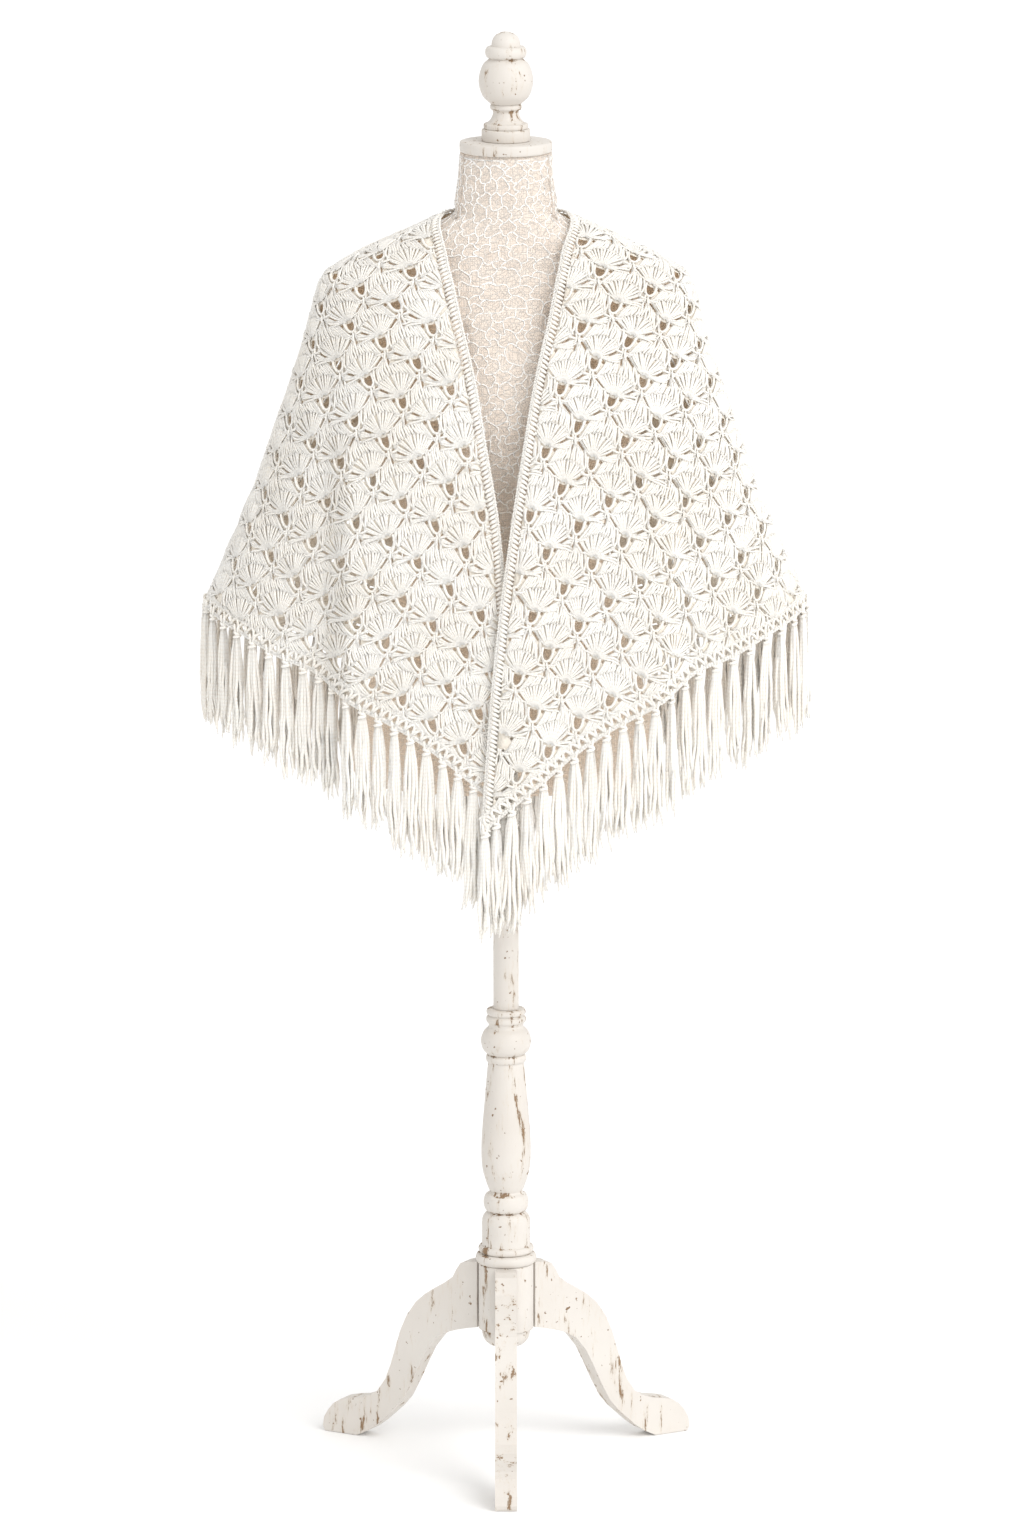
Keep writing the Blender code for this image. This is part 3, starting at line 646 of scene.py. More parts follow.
# Openings between the yarns: two ends of a middle line, and half the width
OPENINGS = [
    ((-0.3, 3.0), (0.1, -3.4), 3.8),
    ((3.3, -9.8), (3.5, -9.5), 1.6),
    ((-2.6, -11.2), (-6.2, -9.9), 1.05),
    ((-7.6, -14.4), (-12.4, -19.6), 1.0),
    ((5.4, -14.8), (13.0, -22.0), 0.95),
    ((0.3, -17.4), (1.1, -23.8), 0.75),
    ((8.8, 5.7), (8.9, 5.0), 1.8),
    ((-9.4, 3.4), (-8.6, -2.0), 0.6),
]
GROUND_HOLES = {
    "hole": [(3.2, 5.8), (0.4, 5.0), (-4.2, 5.8), (-4.9, 1.0), (-4.0, -4.2), (-0.6, -7.4), (2.8, -5.8), (4.4, 0.6)],
    "star_dot": [(1.5, -9.9), (3.2, -7.8), (5.2, -9.4), (3.4, -11.7)],
    "star_dash": [(-1.6, -12.2), (-1.6, -10.2), (-6.6, -8.6), (-7.4, -10.4)],
    "row_dash": [(-6.4, -14.6), (-7.9, -12.9), (-13.6, -19.3), (-12.2, -20.9)],
    "slit_outer": [(4.1, -15.2), (5.8, -13.5), (14.3, -21.6), (13.2, -23.1)],
    "slit_down": [(-0.7, -16.4), (1.1, -16.2), (2.1, -24.8), (0.3, -25.0)],
    "side_hole": [(6.9, 4.6), (8.6, 7.8), (11.0, 5.6), (9.2, 2.8)],
    "side_slit": [(-10.2, 4.4), (-8.8, 4.4), (-7.9, -2.8), (-9.3, -3.0)],
}


def part_round_openings(path, radius):
    """Bend yarns aside where they would cross an opening of this shell or one near it."""
    path = path.copy()
    rows = np.arange(len(path))[:, None]
    for steps_in, steps_out in ((0, 0), (-1, 0), (0, -1), (-1, -1), (1, -1), (-1, 1)):
        shift = steps_in * STEP_IN + steps_out * STEP_OUT
        shift = np.array([shift @ FAN_ACROSS, -shift @ FAN_DOWN])
        for start, end, half_width in OPENINGS:
            start, end = shift + np.array(start) * 0.001, shift + np.array(end) * 0.001
            count = 1 + int(np.linalg.norm(end - start) / 0.0018)
            spots = start + (end - start) * np.linspace(0, 1, count + 1)[:, None]
            gap = path[:, None] - spots[:, None]
            distance = np.linalg.norm(gap, axis=-1)
            nearest = distance.argmin(-1)
            room = half_width * 0.001 + 0.9 * radius[rows, nearest]
            close = distance.min(-1) < room
            if not close.any():
                continue
            run = np.gradient(path, axis=1)[rows, nearest]
            run /= np.maximum(np.linalg.norm(run, axis=-1), 1e-9)[..., None]
            aside = np.stack([run[..., 1], -run[..., 0]], axis=-1)
            off = (gap[rows, np.arange(count + 1), nearest] * aside).sum(-1)
            side = np.where((off * close).sum(-1) < 0, -1.0, 1.0)
            need = np.where(close, room - side[:, None] * off, 0.0)
            bend = np.exp(-((np.arange(FINE) - nearest[..., None]) / BEND_REACH) ** 2)
            amount = side[:, None] * (need[..., None] * bend).max(1)
            way = (aside * close[..., None]).sum(1)
            way /= np.maximum(np.linalg.norm(way, axis=-1), 1e-9)[:, None]
            path += amount[..., None] * way[:, None]
    return path


def shell_groups(rng):
    """Every yarn of one shell, as groups of (paths, lifts, radii, sides)."""
    groups = []
    for (path, lift, radius), count in ((fan_rays(rng), 7), (posts(rng), 6)):
        path = part_round_openings(path, radius)
        groups.append((thin_out(path, count), thin_out(lift, count), thin_out(radius, count), 4))
    groups.append((*smooth_lines([HOLE_RIM], 10, 0.0027, 0.0016), 4))
    groups.append((*smooth_lines(STAR_ARMS, 4, 0.0030, 0.0013), 4))
    return groups


def shell_centres(outline):
    """Flat places of every hole whose shell could reach into the outline."""
    steps = np.arange(-30, 31)
    i, j = np.meshgrid(steps, steps)
    centres = FIRST_HOLE + i.reshape(-1, 1) * STEP_IN + j.reshape(-1, 1) * STEP_OUT
    near = inside(outline, centres) | (clearance(outline, centres) < 0.042)
    return centres[near]


def in_shells(outline, flat):
    """Which flat points lie in the shells' part of a panel, above the net of the hem."""
    return inside(outline, flat) & (flat[..., 1] < hem_down(flat[..., 0]) - HEM_NET)


def loosen(outline, seed, flat, lift):
    """Handmade unevenness: stitches shift by about a millimetre and the cloth swells, except at its edges."""
    rng = np.random.default_rng(seed)
    edge_share = np.clip(clearance(outline, flat.reshape(-1, 2)) / 0.020, 0, 1).reshape(flat.shape[:-1])
    ways = rng.normal(0, 1, (3, WAVES, 2))
    ways *= (2 * math.pi / rng.uniform(0.045, 0.110, (3, WAVES, 1))) / np.linalg.norm(ways, axis=2)[..., None]
    starts = rng.uniform(0, 2 * math.pi, (3, WAVES))
    drift, rise, swell = (np.sin(flat @ way.T + start).sum(-1) / math.sqrt(WAVES) for way, start in zip(ways, starts))
    moved = flat + LOOSE * edge_share[..., None] * np.stack([drift, rise], axis=-1)
    lift = lift * (0.4 + 0.6 * np.clip(3 * edge_share, 0, 1))
    return moved, lift + LOOSE * edge_share * np.clip(1.2 + swell, 0, 2.6)


def to_flat(local):
    """A shell's frame to the flat cut, about the shell's hole."""
    return local[..., :1] * FAN_ACROSS - local[..., 1:] * FAN_DOWN


def clip_paths(outline, flat, lifts, radii):
    """Cut yarns where they leave the panel, and drop those outside it."""
    within = in_shells(outline, flat)
    turned = ~within[:, 0] & within[:, -1]
    flat[turned] = flat[turned, ::-1]
    lifts[turned] = lifts[turned, ::-1]
    radii[turned] = radii[turned, ::-1]
    within[turned] = within[turned, ::-1]
    count = flat.shape[1]
    kept = np.where(within.all(1), count, np.argmin(within, axis=1))
    good = kept >= 2
    flat, lifts, radii, kept = flat[good], lifts[good], radii[good], kept[good]
    share = np.linspace(0, 1, count) * np.minimum(kept - 0.5, count - 1)[:, None]
    low = np.minimum(share.astype(int), count - 2)
    part = share - low
    row = np.arange(len(flat))[:, None]

    def blend(values):
        mix = part[..., None] if values.ndim == 3 else part
        return values[row, low] * (1 - mix) + values[row, low + 1] * mix

    return blend(flat), blend(lifts), blend(radii)


def build_shells(panel, outline, seed):
    """The crocheted shells of one panel, as groups of placed tubes."""
    rng = np.random.default_rng(seed)
    variants = [shell_groups(rng) for _ in range(6)]
    centres = shell_centres(outline)
    choice = rng.integers(0, len(variants), len(centres))
    groups = []
    for part in range(len(variants[0])):
        flats, lifts, radii = [], [], []
        sides = variants[0][part][3]
        for centre, pick in zip(centres, choice):
            path, lift, radius, _ = variants[pick][part]
            flats.append(centre + to_flat(path))
            lifts.append(lift)
            radii.append(radius)
        flat, lift, radius = clip_paths(outline, np.concatenate(flats), np.concatenate(lifts).copy(),
                                        np.concatenate(radii).copy())
        flat, lift = loosen(outline, seed, flat, lift)
        points, outs = panel.place(flat, lift)
        groups.append((points, outs, radius, sides))
    return groups


def line_chain(panel, line, across, offset, loops_length, amplitude, thickness, lift, strands=2):
    """Yarns that wind round each other along a flat line, offset to one side of it."""
    lengths = np.concatenate([[0], np.cumsum(np.linalg.norm(np.diff(line, axis=0), axis=1))])
    loops = max(2, int(lengths[-1] / loops_length))
    places = np.linspace(0, lengths[-1], loops * 5 + 1)
    base = np.stack([np.interp(places, lengths, line[:, k]) for k in (0, 1)], axis=1)
    way = np.stack([np.interp(places, lengths, across[:, k]) for k in (0, 1)], axis=1)
    phase = 2 * math.pi * loops * places / lengths[-1]
    flats, lifts = [], []
    for k in range(strands):
        wave = phase + 2 * math.pi * k / strands
        flats.append(base + way * (offset + amplitude * np.sin(wave))[:, None])
        lifts.append(lift + 0.45 * amplitude * np.sin(2 * wave))
    flats, lifts = np.array(flats), np.array(lifts)
    points, outs = panel.place(flats, lifts)
    return points, outs, np.full(lifts.shape, thickness), 4


def build_ground(panel, outline, seed):
    """The perforated sheet behind the yarns, as one thin wall: it stands for the ground stitches and, in its darker
    colour, paints the shade between the yarns.
    """
    centres = shell_centres(outline)
    flat = list(outline)
    count = len(outline)
    edges = [(k, (k + 1) % count) for k in range(count)]
    shapes = [to_flat(np.array(shape) * 0.001) for shape in GROUND_HOLES.values()]
    holes = [centre + shape for shape in shapes for centre in centres]
    holes = [hole for hole in holes if in_shells(outline, hole).all()]
    _, hem, _, _ = panel_lines(panel)
    up = side_of(hem)
    for k in range(len(hem) - 1):
        along = (hem[k + 1] - hem[k]) / 2
        middle = hem[k] + along + 0.0082 * up[k]
        holes.append(np.array([middle - 0.62 * along, middle - 0.0030 * up[k], middle + 0.62 * along,
                               middle + 0.0030 * up[k]]))
    holes = [hole for hole in holes if inside(outline, hole).all() and clearance(outline, hole).min() > 0.0012]
    for hole in holes:
        first = len(flat)
        size = len(hole)
        flat.extend(hole)
        edges.extend((first + k, first + (k + 1) % size) for k in range(size))
    low, high = outline.min(0), outline.max(0)
    grid = np.stack(np.meshgrid(np.arange(low[0], high[0], 0.011), np.arange(low[1], high[1], 0.011)),
                    axis=-1).reshape(-1, 2)
    grid = grid[inside(outline, grid)]
    grid = grid[clearance(outline, grid) > 0.004]
    flat.extend(grid)
    points, _, faces, _, _, _ = delaunay_2d_cdt([Vector(p) for p in flat], edges, [], 0, 1e-7)
    points = np.array([tuple(p) for p in points])
    faces = np.array(faces)
    middles = points[faces].mean(1)
    keep = inside(outline, middles)
    for hole in holes:
        box_low, box_high = hole.min(0), hole.max(0)
        near = np.all((middles > box_low) & (middles < box_high), axis=1)
        near_index = np.nonzero(near)[0]
        keep[near_index[inside(hole, middles[near_index])]] = False
    loose, lift = loosen(outline, seed, points, np.full(len(points), GROUND_LIFT))
    placed, _ = panel.place(loose, lift)
    faces = faces[keep]
    if (panel.side > 0) == panel.front:
        faces = faces[:, ::-1]
    used, faces = np.unique(faces, return_inverse=True)
    sheet = add_mesh("sheet_" + panel.name, placed[used], [faces.reshape(-1, 3)])
    wall = sheet.modifiers.new("wall", "SOLIDIFY")
    wall.thickness = GROUND_THICK
    wall.offset = 0.0
    dress(sheet, ground)
    return sheet


def hem_yarns(panel):
    """The chain along the hem, its loops, and a cord along the side seam."""
    _, hem, crease, _ = panel_lines(panel)
    across = side_of(hem)
    groups = [line_chain(panel, hem, across, 0.0026, 0.0064, 0.0012, 0.0017, 0.0026),
              line_chain(panel, hem, across, 0.0142, 0.0064, 0.0012, 0.0017, 0.0028)]
    share = np.linspace(0, 1, 9)
    arches, lifts = [], []
    for k in range(0, len(hem) - 2, 1):
        start, end = hem[k], hem[k + 1]
        up = (across[k] + across[k + 1]) / 2
        rise = (0.0030 + 0.0108 * np.sin(math.pi * share) ** 0.7)[:, None]
        arches.append(start + (end - start) * share[:, None] + up * rise)
        lifts.append(0.0030 + 0.0006 * np.sin(math.pi * share))
    arches, lifts = np.array(arches), np.array(lifts)
    points, outs = panel.place(arches, lifts)
    groups.append((points, outs, np.full(lifts.shape, 0.0019), 4))
    if panel.front:
        crease_across = -side_of(crease)
        groups.append(line_chain(panel, crease, crease_across, 0.0016, 0.0060, 0.0012, 0.0015, 0.0022))
    return groups


def tassel_places(panel):
    """The middle of each tassel on the hem, as flat points."""
    _, hem, _, _ = panel_lines(panel)
    middles = hem[1::2]
    if panel.front:
        end, _ = front_edge(panel)
        return np.concatenate([end[-1:] + np.array([[0.004, -0.004]]), middles])
    return middles


def build_tassels(panel, seed):
    """Knots and hanging yarns along a hem, as placed tubes."""
    rng = np.random.default_rng(seed)
    flat = tassel_places(panel)
    roots, outs = panel.place(flat, 0.0022)
    level = np.cross(outs, np.array([0.0, 0.0, 1.0]))
    level /= np.linalg.norm(level, axis=1)[:, None]
    away = np.cross(np.array([0.0, 0.0, 1.0]), level)
    away *= np.sign((away * outs).sum(1))[:, None]
    count = len(flat)
    strands = 10
    steps = 13
    share = np.linspace(0, 1, steps)
    turn = 2 * math.pi * (np.arange(strands) + rng.uniform(0, 0.6, (count, strands))) / strands
    spread = rng.uniform(0.55, 1.0, (count, strands))
    wide = np.interp(share, (0, 0.06, 0.2, 0.45, 1), (0.0030, 0.0042, 0.0062, 0.0080, 0.0086))
    sideways = np.cos(turn)[..., None] * spread[..., None] * wide
    inward = np.sin(turn)[..., None] * spread[..., None] * wide * 0.55
    waves = rng.uniform(0, 2 * math.pi, (count, strands, 2))
    wobble = 0.0016 * np.sin(share * 9 + waves[..., :1]) * share + 0.0007 * np.sin(share * 21 + waves[..., 1:]) * share
    lean = rng.normal(0, 0.0018, (count, 1, 1)) * share ** 1.5
    stray = rng.normal(0, 0.0020, (count, strands, 1)) * share ** 3
    length = rng.normal(0.118, 0.004, (count, 1)) * rng.uniform(0.86, 1.07, (count, strands))
    drop = 0.0055 + length[..., None] * share
    paths = (roots[:, None, None] + level[:, None, None] * (sideways + wobble + lean + stray)[..., None]
             + away[:, None, None] * (inward + 0.5 * wobble)[..., None])
    paths[..., 2] -= drop
    radii = np.interp(share, (0, 0.1, 0.8, 0.95, 1), (0.0016, 0.0022, 0.0022, 0.0017, 0.0006))
    paths = paths.reshape(-1, steps, 3)
    fronts = np.repeat(away, strands, axis=0)[:, None] + np.zeros_like(paths)
    groups = [(paths, fronts, np.broadcast_to(radii, paths.shape[:2]), 4)]
    angle = np.linspace(-0.2, 2 * math.pi + 0.2, 11)
    for drop_to, size, thick, slant in ((0.0010, 0.0032, 0.0017, 0.0010), (0.0048, 0.0036, 0.0018, -0.0010)):
        loop = (roots[:, None] + level[:, None] * (size * np.cos(angle))[:, None]
                + away[:, None] * (0.75 * size * np.sin(angle))[:, None])
        loop[..., 2] += -drop_to + slant * np.cos(angle)
        upright = np.zeros_like(loop)
        upright[..., 2] = 1.0
        groups.append((loop, upright, np.full(loop.shape[:2], thick), 5))
    neck = np.linspace(0, 1, 6)
    for lean_to in (-0.0022, 0.0022):
        cord = roots[:, None] + level[:, None] * (lean_to * (0.4 + neck))[:, None] + away[:, None] * 0.0010
        cord = cord + np.zeros((count, 6, 3))
        cord[..., 2] += -0.004 + 0.013 * neck
        groups.append((cord, away[:, None] + np.zeros_like(cord), np.full(cord.shape[:2], 0.0014), 5))
    return groups


def build_band(panel, back_panel):
    """The worked edge: small leaning stitches up one front and round the back of the neck, and a fine chain."""
    line, inward = front_edge(panel, EDGE_STITCH)
    outs = np.arange(0.064, 0.0, -EDGE_STITCH)
    neck = np.stack([outs, np.zeros(len(outs))], axis=1)
    neck_in = np.tile([0.0, 1.0], (len(neck), 1))
    share = np.linspace(0, 1, 5)
    groups = []
    for owner, path, way in ((panel, line, inward), (back_panel, neck, neck_in)):
        along = np.gradient(path, axis=0)
        feet = path[:, None] + way[:, None] * (0.0010 + 0.0086 * share[:, None])
        feet = feet + along[:, None] * (0.9 * share[:, None])
        lift = np.broadcast_to(0.0014 + 0.0014 * np.sin(math.pi * share), feet.shape[:2])
        points, normals = owner.place(feet, lift)
        radii = np.broadcast_to(np.interp(share, (0, 0.5, 1), (0.0014, 0.0020, 0.0013)), feet.shape[:2])
        groups.append((points, normals, radii, 4))
        groups.append(line_chain(owner, path, way, 0.0014, 0.0072, 0.0014, 0.0013, 0.0018))
    return groups


# The form


def smooth_rings(rings, count):
    """A table of rings, filled in by a smooth curve through its rows."""
    heights = rings["height"]
    places = np.linspace(0, len(heights) - 1, count)
    low = np.minimum(places.astype(int), len(heights) - 2)
    part = places - low
    filled = {}
    for name, values in rings.items():
        ends = np.concatenate([[2 * values[0] - values[1]], values, [2 * values[-1] - values[-2]]])
        p0, p1, p2, p3 = ends[low], ends[low + 1], ends[low + 2], ends[low + 3]
        cubic = p1 + 0.5 * part * (p2 - p0 + part * (2 * p0 - 5 * p1 + 4 * p2 - p3 + part * (3 * (p1 - p2) + p3 - p0)))
        filled[name] = cubic if name != "height" else p1 + (p2 - p1) * part
    return filled


FORM_SMOOTH = smooth_rings(FORM, 90)


def on_form(angle, height, lift):
    """Points on the form's surface. Angle is in radians from +X, and the front is at -90 degrees."""
    half = at_height(FORM_SMOOTH, "half_width", height) + lift
    front = at_height(FORM_SMOOTH, "front_depth", height) + lift
    back = at_height(FORM_SMOOTH, "back_depth", height) + lift
    depth = np.where(np.sin(angle) > 0, back, front)
    return np.stack([half * np.cos(angle), AXIS_Y + depth * np.sin(angle), height + np.zeros_like(angle)], axis=-1)


def shown_zone(points, margin):
    """Which points of the form show: above the neck line, and in front between the shawl's front edges."""
    left, right = (panel.place(front_edge(panel)[0], 0.0)[0][::-1] for panel in PANELS[:2])
    x, y, z = points[..., 0], points[..., 1], points[..., 2]
    between = (x > np.interp(z, left[:, 2], left[:, 0]) - margin) & (x < np.interp(z, right[:, 2], right[:, 0]) + margin)
    return (z > NECK_HEIGHT - margin) | (between & (y < AXIS_Y))


def build_form():
    """The form's linen body, closed at the neck and the base, and the cover over it where it shows."""
    segments = 72
    heights = FORM_SMOOTH["height"]
    angle = 2 * math.pi * np.arange(segments) / segments
    rings = (angle[None] + np.zeros((len(heights), 1)), heights[:, None] + np.zeros((1, segments)))
    index = np.arange(len(heights) * segments).reshape(-1, segments)
    nxt = np.roll(index, -1, axis=1)
    quads = np.stack([index[:-1], index[1:], nxt[1:], nxt[:-1]], axis=-1).reshape(-1, 4)
    caps = np.stack([index[0], index[-1, ::-1]])
    form = add_mesh("linen_body", on_form(*rings, 0.0).reshape(-1, 3), [quads, caps])
    form.data.set_sharp_from_angle(angle=math.radians(50))
    points = on_form(*rings, COVER_LIFT).reshape(-1, 3)
    shown = quads[shown_zone(points[quads].mean(1), 0.010)]
    used, faces = np.unique(shown.ravel(), return_inverse=True)
    cover = add_mesh("cover_shown", points[used], [faces.reshape(-1, 4)])
    wall = cover.modifiers.new("wall", "SOLIDIFY")
    wall.thickness = 0.002
    wall.offset = -1.0
    dress(form, linen)
    dress(cover, linen)
    return form, cover


def build_lace(seed):
    """Raised cords of the cover: an uneven net with cells taller than wide, where the form shows."""
    rng = np.random.default_rng(seed)
    low, high = 0.93, 1.462
    grid = [((k + 0.5 * (row % 2)) * LACE_CELL, row * LACE_CELL * 1.25)
            for row in range(int((high - low) / (LACE_CELL * 1.25)) + 1) for k in range(-20, 21)]
    flat = np.array(grid) + rng.normal(0, 0.22 * LACE_CELL, (len(grid), 2))
    points, _, faces, _, _, _ = delaunay_2d_cdt([Vector(p) for p in flat], [], [], 0, 1e-7)
    points = np.array([tuple(p) for p in points])
    middles = np.array([points[list(face)].mean(0) for face in faces])
    owners = {}
    for number, face in enumerate(faces):
        for a, b in zip(face, face[1:] + face[:1]):
            owners.setdefault((min(a, b), max(a, b)), []).append(number)
    pairs = np.array([pair for pair in owners.values() if len(pair) == 2])
    start, end = middles[pairs[:, 0]], middles[pairs[:, 1]]
    share = np.linspace(0, 1, 4)[:, None]
    run = end - start
    bow = np.stack([run[:, 1], -run[:, 0]], axis=1) * rng.normal(0, 0.30, (len(run), 1))
    paths = start[:, None] + run[:, None] * share + bow[:, None] * np.sin(math.pi * share)
    height = np.clip(low + paths[..., 1], low, high)
    girth = 0.5 * (at_height(FORM_SMOOTH, "half_width", height) + at_height(FORM_SMOOTH, "front_depth", height))
    angle = -math.pi / 2 + paths[..., 0] / girth
    good = (np.abs(angle + math.pi / 2) < 2.6).all(1) & shown_zone(on_form(angle, height, 0.0), 0.012).all(1)
    points = on_form(angle[good], height[good], COVER_LIFT + 0.0002)
    outs = on_form(angle[good], height[good], COVER_LIFT + 0.0012) - points
    outs /= np.linalg.norm(outs, axis=2)[..., None]
    lace = add_tubes("cover_lace", [(points, outs, np.full(points.shape[:2], 0.00078), 4)])
    dress(lace, lace_thread)
    return lace


def build_piping():
    """The two seams of the neck, as fine dark-edged cords."""
    heights = np.linspace(1.4655, 1.395, 12)
    paths, outs = [], []
    for centre in (-math.pi / 2 - 1.13, -math.pi / 2 + 1.13):
        angle = np.full(12, centre)
        low = on_form(angle, heights, COVER_LIFT + 0.0004)
        paths.append(low)
        outs.append(on_form(angle, heights, 0.0020) - low)
    outs = np.array(outs)
    outs /= np.linalg.norm(outs, axis=2)[..., None]
    piping = add_tubes("neck_piping", [(np.array(paths), outs, np.full((2, 12), 0.0011), 6)])
    dress(piping, linen)
    return piping


# The stand


def turned(name, profile, worn):
    """A turned piece: profile points top to bottom as (height, radius), worn where a stretch is rubbed."""
    segments = 60
    rows = np.array(profile)
    heights, radii = rows[:, 0], rows[:, 1]
    angle = 2 * math.pi * np.arange(segments) / segments
    ring = np.stack([np.cos(angle), np.sin(angle)], axis=1)
    points = np.zeros((len(rows), segments, 3))
    points[..., :2] = ring * radii[:, None, None]
    points[..., 1] += AXIS_Y
    points[..., 2] = heights[:, None]
    index = np.arange(len(rows) * segments).reshape(-1, segments)
    nxt = np.roll(index, -1, axis=1)
    quads = np.stack([index[:-1], index[1:], nxt[1:], nxt[:-1]], axis=-1)
    caps = np.stack([index[0], index[-1, ::-1]])
    piece = add_mesh(name, points.reshape(-1, 3), [quads.reshape(-1, 4), caps])
    dress(piece, paint, worn_paint)
    mids = (heights[:-1] + heights[1:]) / 2
    slot = np.zeros(len(mids), dtype=np.int32)
    for low, high in worn:
        slot[(mids > low) & (mids < high)] = 1
    slots = np.concatenate([np.repeat(slot, segments), [0, 0]])
    piece.data.polygons.foreach_set("material_index", slots)
    piece.data.set_sharp_from_angle(angle=math.radians(48))
    return piece


def bead(high, low, radius, bulge, count=9):
    """A half-round bead between two heights."""
    turn = np.linspace(0, math.pi, count)
    middle, half = (high + low) / 2, (high - low) / 2
    return [(middle + half * math.cos(t), radius + bulge * math.sin(t)) for t in turn]


def sweep(points, count=24):
    """A smooth curve through profile points."""
    rows = np.array(points)
    ends = np.concatenate([[2 * rows[0] - rows[1]], rows, [2 * rows[-1] - rows[-2]]])
    places = np.linspace(0, len(rows) - 1, count)
    low = np.minimum(places.astype(int), len(rows) - 2)
    part = (places - low)[:, None]
    p0, p1, p2, p3 = ends[low], ends[low + 1], ends[low + 2], ends[low + 3]
    curve = p1 + 0.5 * part * (p2 - p0 + part * (2 * p0 - 5 * p1 + 4 * p2 - p3 + part * (3 * (p1 - p2) + p3 - p0)))
    return [tuple(row) for row in curve]


def disc_edge(high, low, radius, round_off=0.0012):
    """A flat disc's rim with rounded corners."""
    return (bead(high, high - 2 * round_off, radius - round_off, round_off, 5)[:3]
            + bead(low + 2 * round_off, low, radius - round_off, round_off, 5)[2:])


FINIAL = (
    [(1.5970, 0.0004)] + sweep([(1.5968, 0.0040), (1.5935, 0.0110), (1.5880, 0.0148), (1.5815, 0.0160)], 10)
    + bead(1.5812, 1.5685, 0.0185, 0.0042)
    + [(1.5680, 0.0180)] + sweep([(1.5672, 0.0190), (1.5600, 0.0258), (1.5440, 0.0297), (1.5280, 0.0258), (1.5185, 0.0165)], 26)
    + bead(1.5182, 1.5122, 0.0155, 0.0018, 7)
    + sweep([(1.5120, 0.0145), (1.5080, 0.0141), (1.5020, 0.0165), (1.4975, 0.0210)], 10)
    + disc_edge(1.4972, 1.4915, 0.0242) + disc_edge(1.4910, 1.4781, 0.0265)
)
CAP = [(1.4780, 0.0300)] + disc_edge(1.4780, 1.4661, 0.0504, 0.0020)
COLUMN = (
    [(0.5120, 0.0160)] + bead(0.5120, 0.5050, 0.0192, 0.0025, 8) + bead(0.5040, 0.4960, 0.0196, 0.0025, 8)
    + sweep([(0.4955, 0.0196), (0.4915, 0.0195), (0.4860, 0.0247), (0.4760, 0.0278), (0.4660, 0.0256), (0.4605, 0.0206)], 22)
    + bead(0.4602, 0.4515, 0.0200, 0.0024, 8)
    + sweep([(0.4512, 0.0198), (0.4400, 0.0210), (0.4100, 0.0235), (0.3740, 0.0265), (0.3500, 0.0274), (0.3300, 0.0262),
             (0.3130, 0.0215), (0.3045, 0.0181)], 44)
    + bead(0.3020, 0.2815, 0.0198, 0.0052, 12)
    + sweep([(0.2808, 0.0205), (0.2785, 0.0235), (0.2740, 0.0262), (0.2680, 0.0269)], 10)
    + [(0.2560, 0.0267), (0.2435, 0.0268)]
    + bead(0.2430, 0.2345, 0.0270, 0.0036, 8) + bead(0.2342, 0.2222, 0.0290, 0.0048, 10)
)
HUB = (
    [(0.2220, 0.0200)] + disc_edge(0.2220, 0.1470, 0.0304)
    + [(0.1468, 0.0270)] + sweep([(0.1440, 0.0268), (0.1360, 0.0250), (0.1295, 0.0190), (0.1271, 0.0110)], 10)
)


def build_stand():
    """The turned pieces of the stand, each in place of its solid."""
    pieces = {
        "finial": turned("finial_turned", FINIAL, ((1.5660, 1.5700), (1.4890, 1.4990), (1.5100, 1.5135))),
        "neck_cap": turned("neck_cap_turned", CAP, ()),
        "column": turned("column_turned", COLUMN, ((0.4940, 0.5130), (0.4585, 0.4615), (0.2995, 0.3060),
                                                   (0.2800, 0.2830), (0.2330, 0.2445))),
        "hub": turned("hub_turned", HUB, ((0.1380, 0.1490), (0.2190, 0.2225))),
    }
    pole = turned("pole_turned", [(0.7727, 0.0140), (0.7000, 0.0140), (0.6000, 0.0140), (0.5123, 0.0140)], ())
    pieces["pole"] = pole
    for node, piece in pieces.items():
        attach(piece, "root")
        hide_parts(node)
    for node in ("leg_front", "leg_left", "leg_right"):
        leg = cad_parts[node]
        dress(leg, paint, worn_paint)
        bevel = leg.modifiers.new("worn_edges", "BEVEL")
        bevel.width = 0.0022
        bevel.segments = 3
        bevel.limit_method = "ANGLE"
        bevel.angle_limit = math.radians(40)
        bevel.material = 1
        leg.data.polygons.foreach_set("use_smooth", np.ones(len(leg.data.polygons), dtype=bool))


def build_shawl():
    """The four panels with their sheets, shells and fringe, and the two edge bands."""
    yarn_pieces = {}
    outlines = {}
    for number, panel in enumerate(PANELS):
        outline = panel_outline(panel)
        outlines[panel.name] = outline
        sheet = build_ground(panel, outline, 11 + number)
        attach(sheet, "root")
        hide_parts("shawl_" + panel.name)
        shells = add_tubes("shells_" + panel.name, build_shells(panel, outline, 11 + number))
        hem = add_tubes("hem_" + panel.name, hem_yarns(panel))
        fringe = add_tubes("tassels_" + panel.name, build_tassels(panel, 31 + number))
        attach(fringe, "root")
        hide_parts("fringe_" + panel.name)
        for piece, material in ((shells, yarn), (hem, yarn), (fringe, fringe_yarn)):
            dress(piece, material)
        for piece in (shells, hem):
            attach(piece, "root")
        yarn_pieces[panel.name] = [shells, hem, fringe]
    for side, panel, back_panel in (("left", PANELS[0], PANELS[2]), ("right", PANELS[1], PANELS[3])):
        band = add_tubes("band_" + side, build_band(panel, back_panel))
        dress(band, yarn)
        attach(band, "root")
        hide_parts("edge_band_" + side)
        yarn_pieces[panel.name].append(band)
    for panel in PANELS:
        outline = outlines[panel.name]


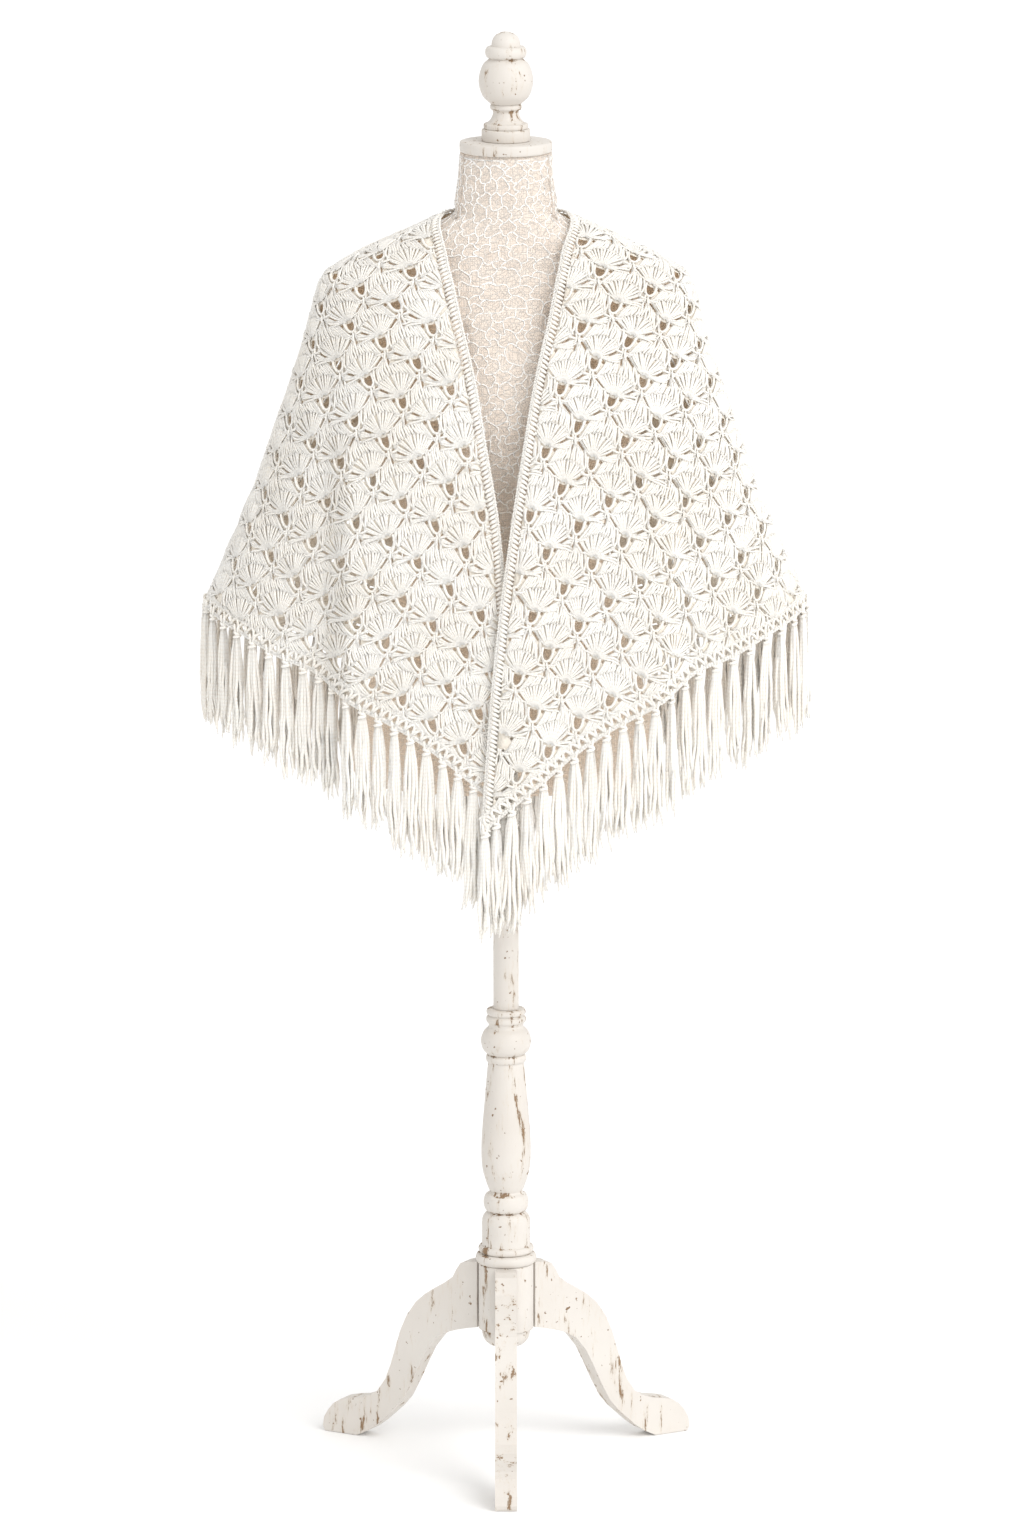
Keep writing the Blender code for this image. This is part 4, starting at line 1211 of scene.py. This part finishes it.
def build_room():
    """Pale floor, soft light and the camera at the photograph's angle."""
    m = Nodes("pale_floor")
    dust = m.add("ShaderNodeTexNoise", {"Scale": 3.0}).outputs["Fac"]
    m.set(Base_Color=m.mix(dust, grey(0.975), grey(0.985)), Roughness=0.9)
    bpy.ops.mesh.primitive_plane_add(size=60.0, location=(0.0, 0.0, -0.0005))
    floor = bpy.context.object
    floor.name = "floor"
    dress(floor, m.material)
    world = bpy.data.worlds.new("pale_room")
    world.use_nodes = True
    back = world.node_tree.nodes["Background"]
    back.inputs["Color"].default_value = (1.0, 0.995, 0.985, 1.0)
    back.inputs["Strength"].default_value = 0.88
    bpy.context.scene.world = world
    key = bpy.data.lights.new("soft_key", "SUN")
    key.angle = math.radians(40)
    key.energy = 1.6
    lamp = bpy.data.objects.new("soft_key", key)
    lamp.rotation_euler = Vector((-2.3, 2.6, -2.6)).to_track_quat("-Z", "Y").to_euler()
    bpy.context.scene.collection.objects.link(lamp)
    data = bpy.data.cameras.new("photo_view")
    data.sensor_fit = "VERTICAL"
    data.sensor_height = SENSOR
    data.lens = LENS
    data.clip_end = 100.0
    camera = bpy.data.objects.new("photo_view", data)
    camera.location = (AIM_SIDE, AXIS_Y - CAMERA_BACK, CAMERA_HEIGHT)
    aim = Vector((AIM_SIDE, AXIS_Y, AIM_HEIGHT)) - camera.location
    camera.rotation_euler = aim.to_track_quat("-Z", "Y").to_euler()
    bpy.context.scene.collection.objects.link(camera)
    bpy.context.scene.camera = camera
    bpy.context.scene.view_settings.view_transform = "Standard"


def light_only(name, pieces, turn, energy, color):
    """A soft sun that comes from one side and lights, and is stopped by, some pieces alone."""
    lit = bpy.data.collections.new(name)
    for piece in pieces:
        lit.objects.link(piece)
    turn = math.radians(turn)
    data = bpy.data.lights.new(name, "SUN")
    data.energy = energy
    data.angle = math.radians(60)
    data.color = color
    lamp = bpy.data.objects.new(name, data)
    lamp.rotation_euler = Vector((-math.cos(turn), -math.sin(turn), -0.35)).to_track_quat("-Z", "Y").to_euler()
    lamp.light_linking.receiver_collection = lit
    lamp.light_linking.blocker_collection = lit
    bpy.context.scene.collection.objects.link(lamp)


build_room()
form, cover = build_form()
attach(form, "root")
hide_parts("form_torso")
lace = build_lace(5)
for extra in (cover, lace, build_piping()):
    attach(extra, "root")
# Yarn lets some light through to the form behind it and into the front opening
for side in (-90, 0, 90, 180):
    light_only("through_yarn_%d" % (side + 90), [form], side, THROUGH_ENERGY, THROUGH_COLOR)
light_only("opening_fill", [cover, lace], -90, FILL_ENERGY, (1.0, 1.0, 1.0))
build_shawl()
build_stand()
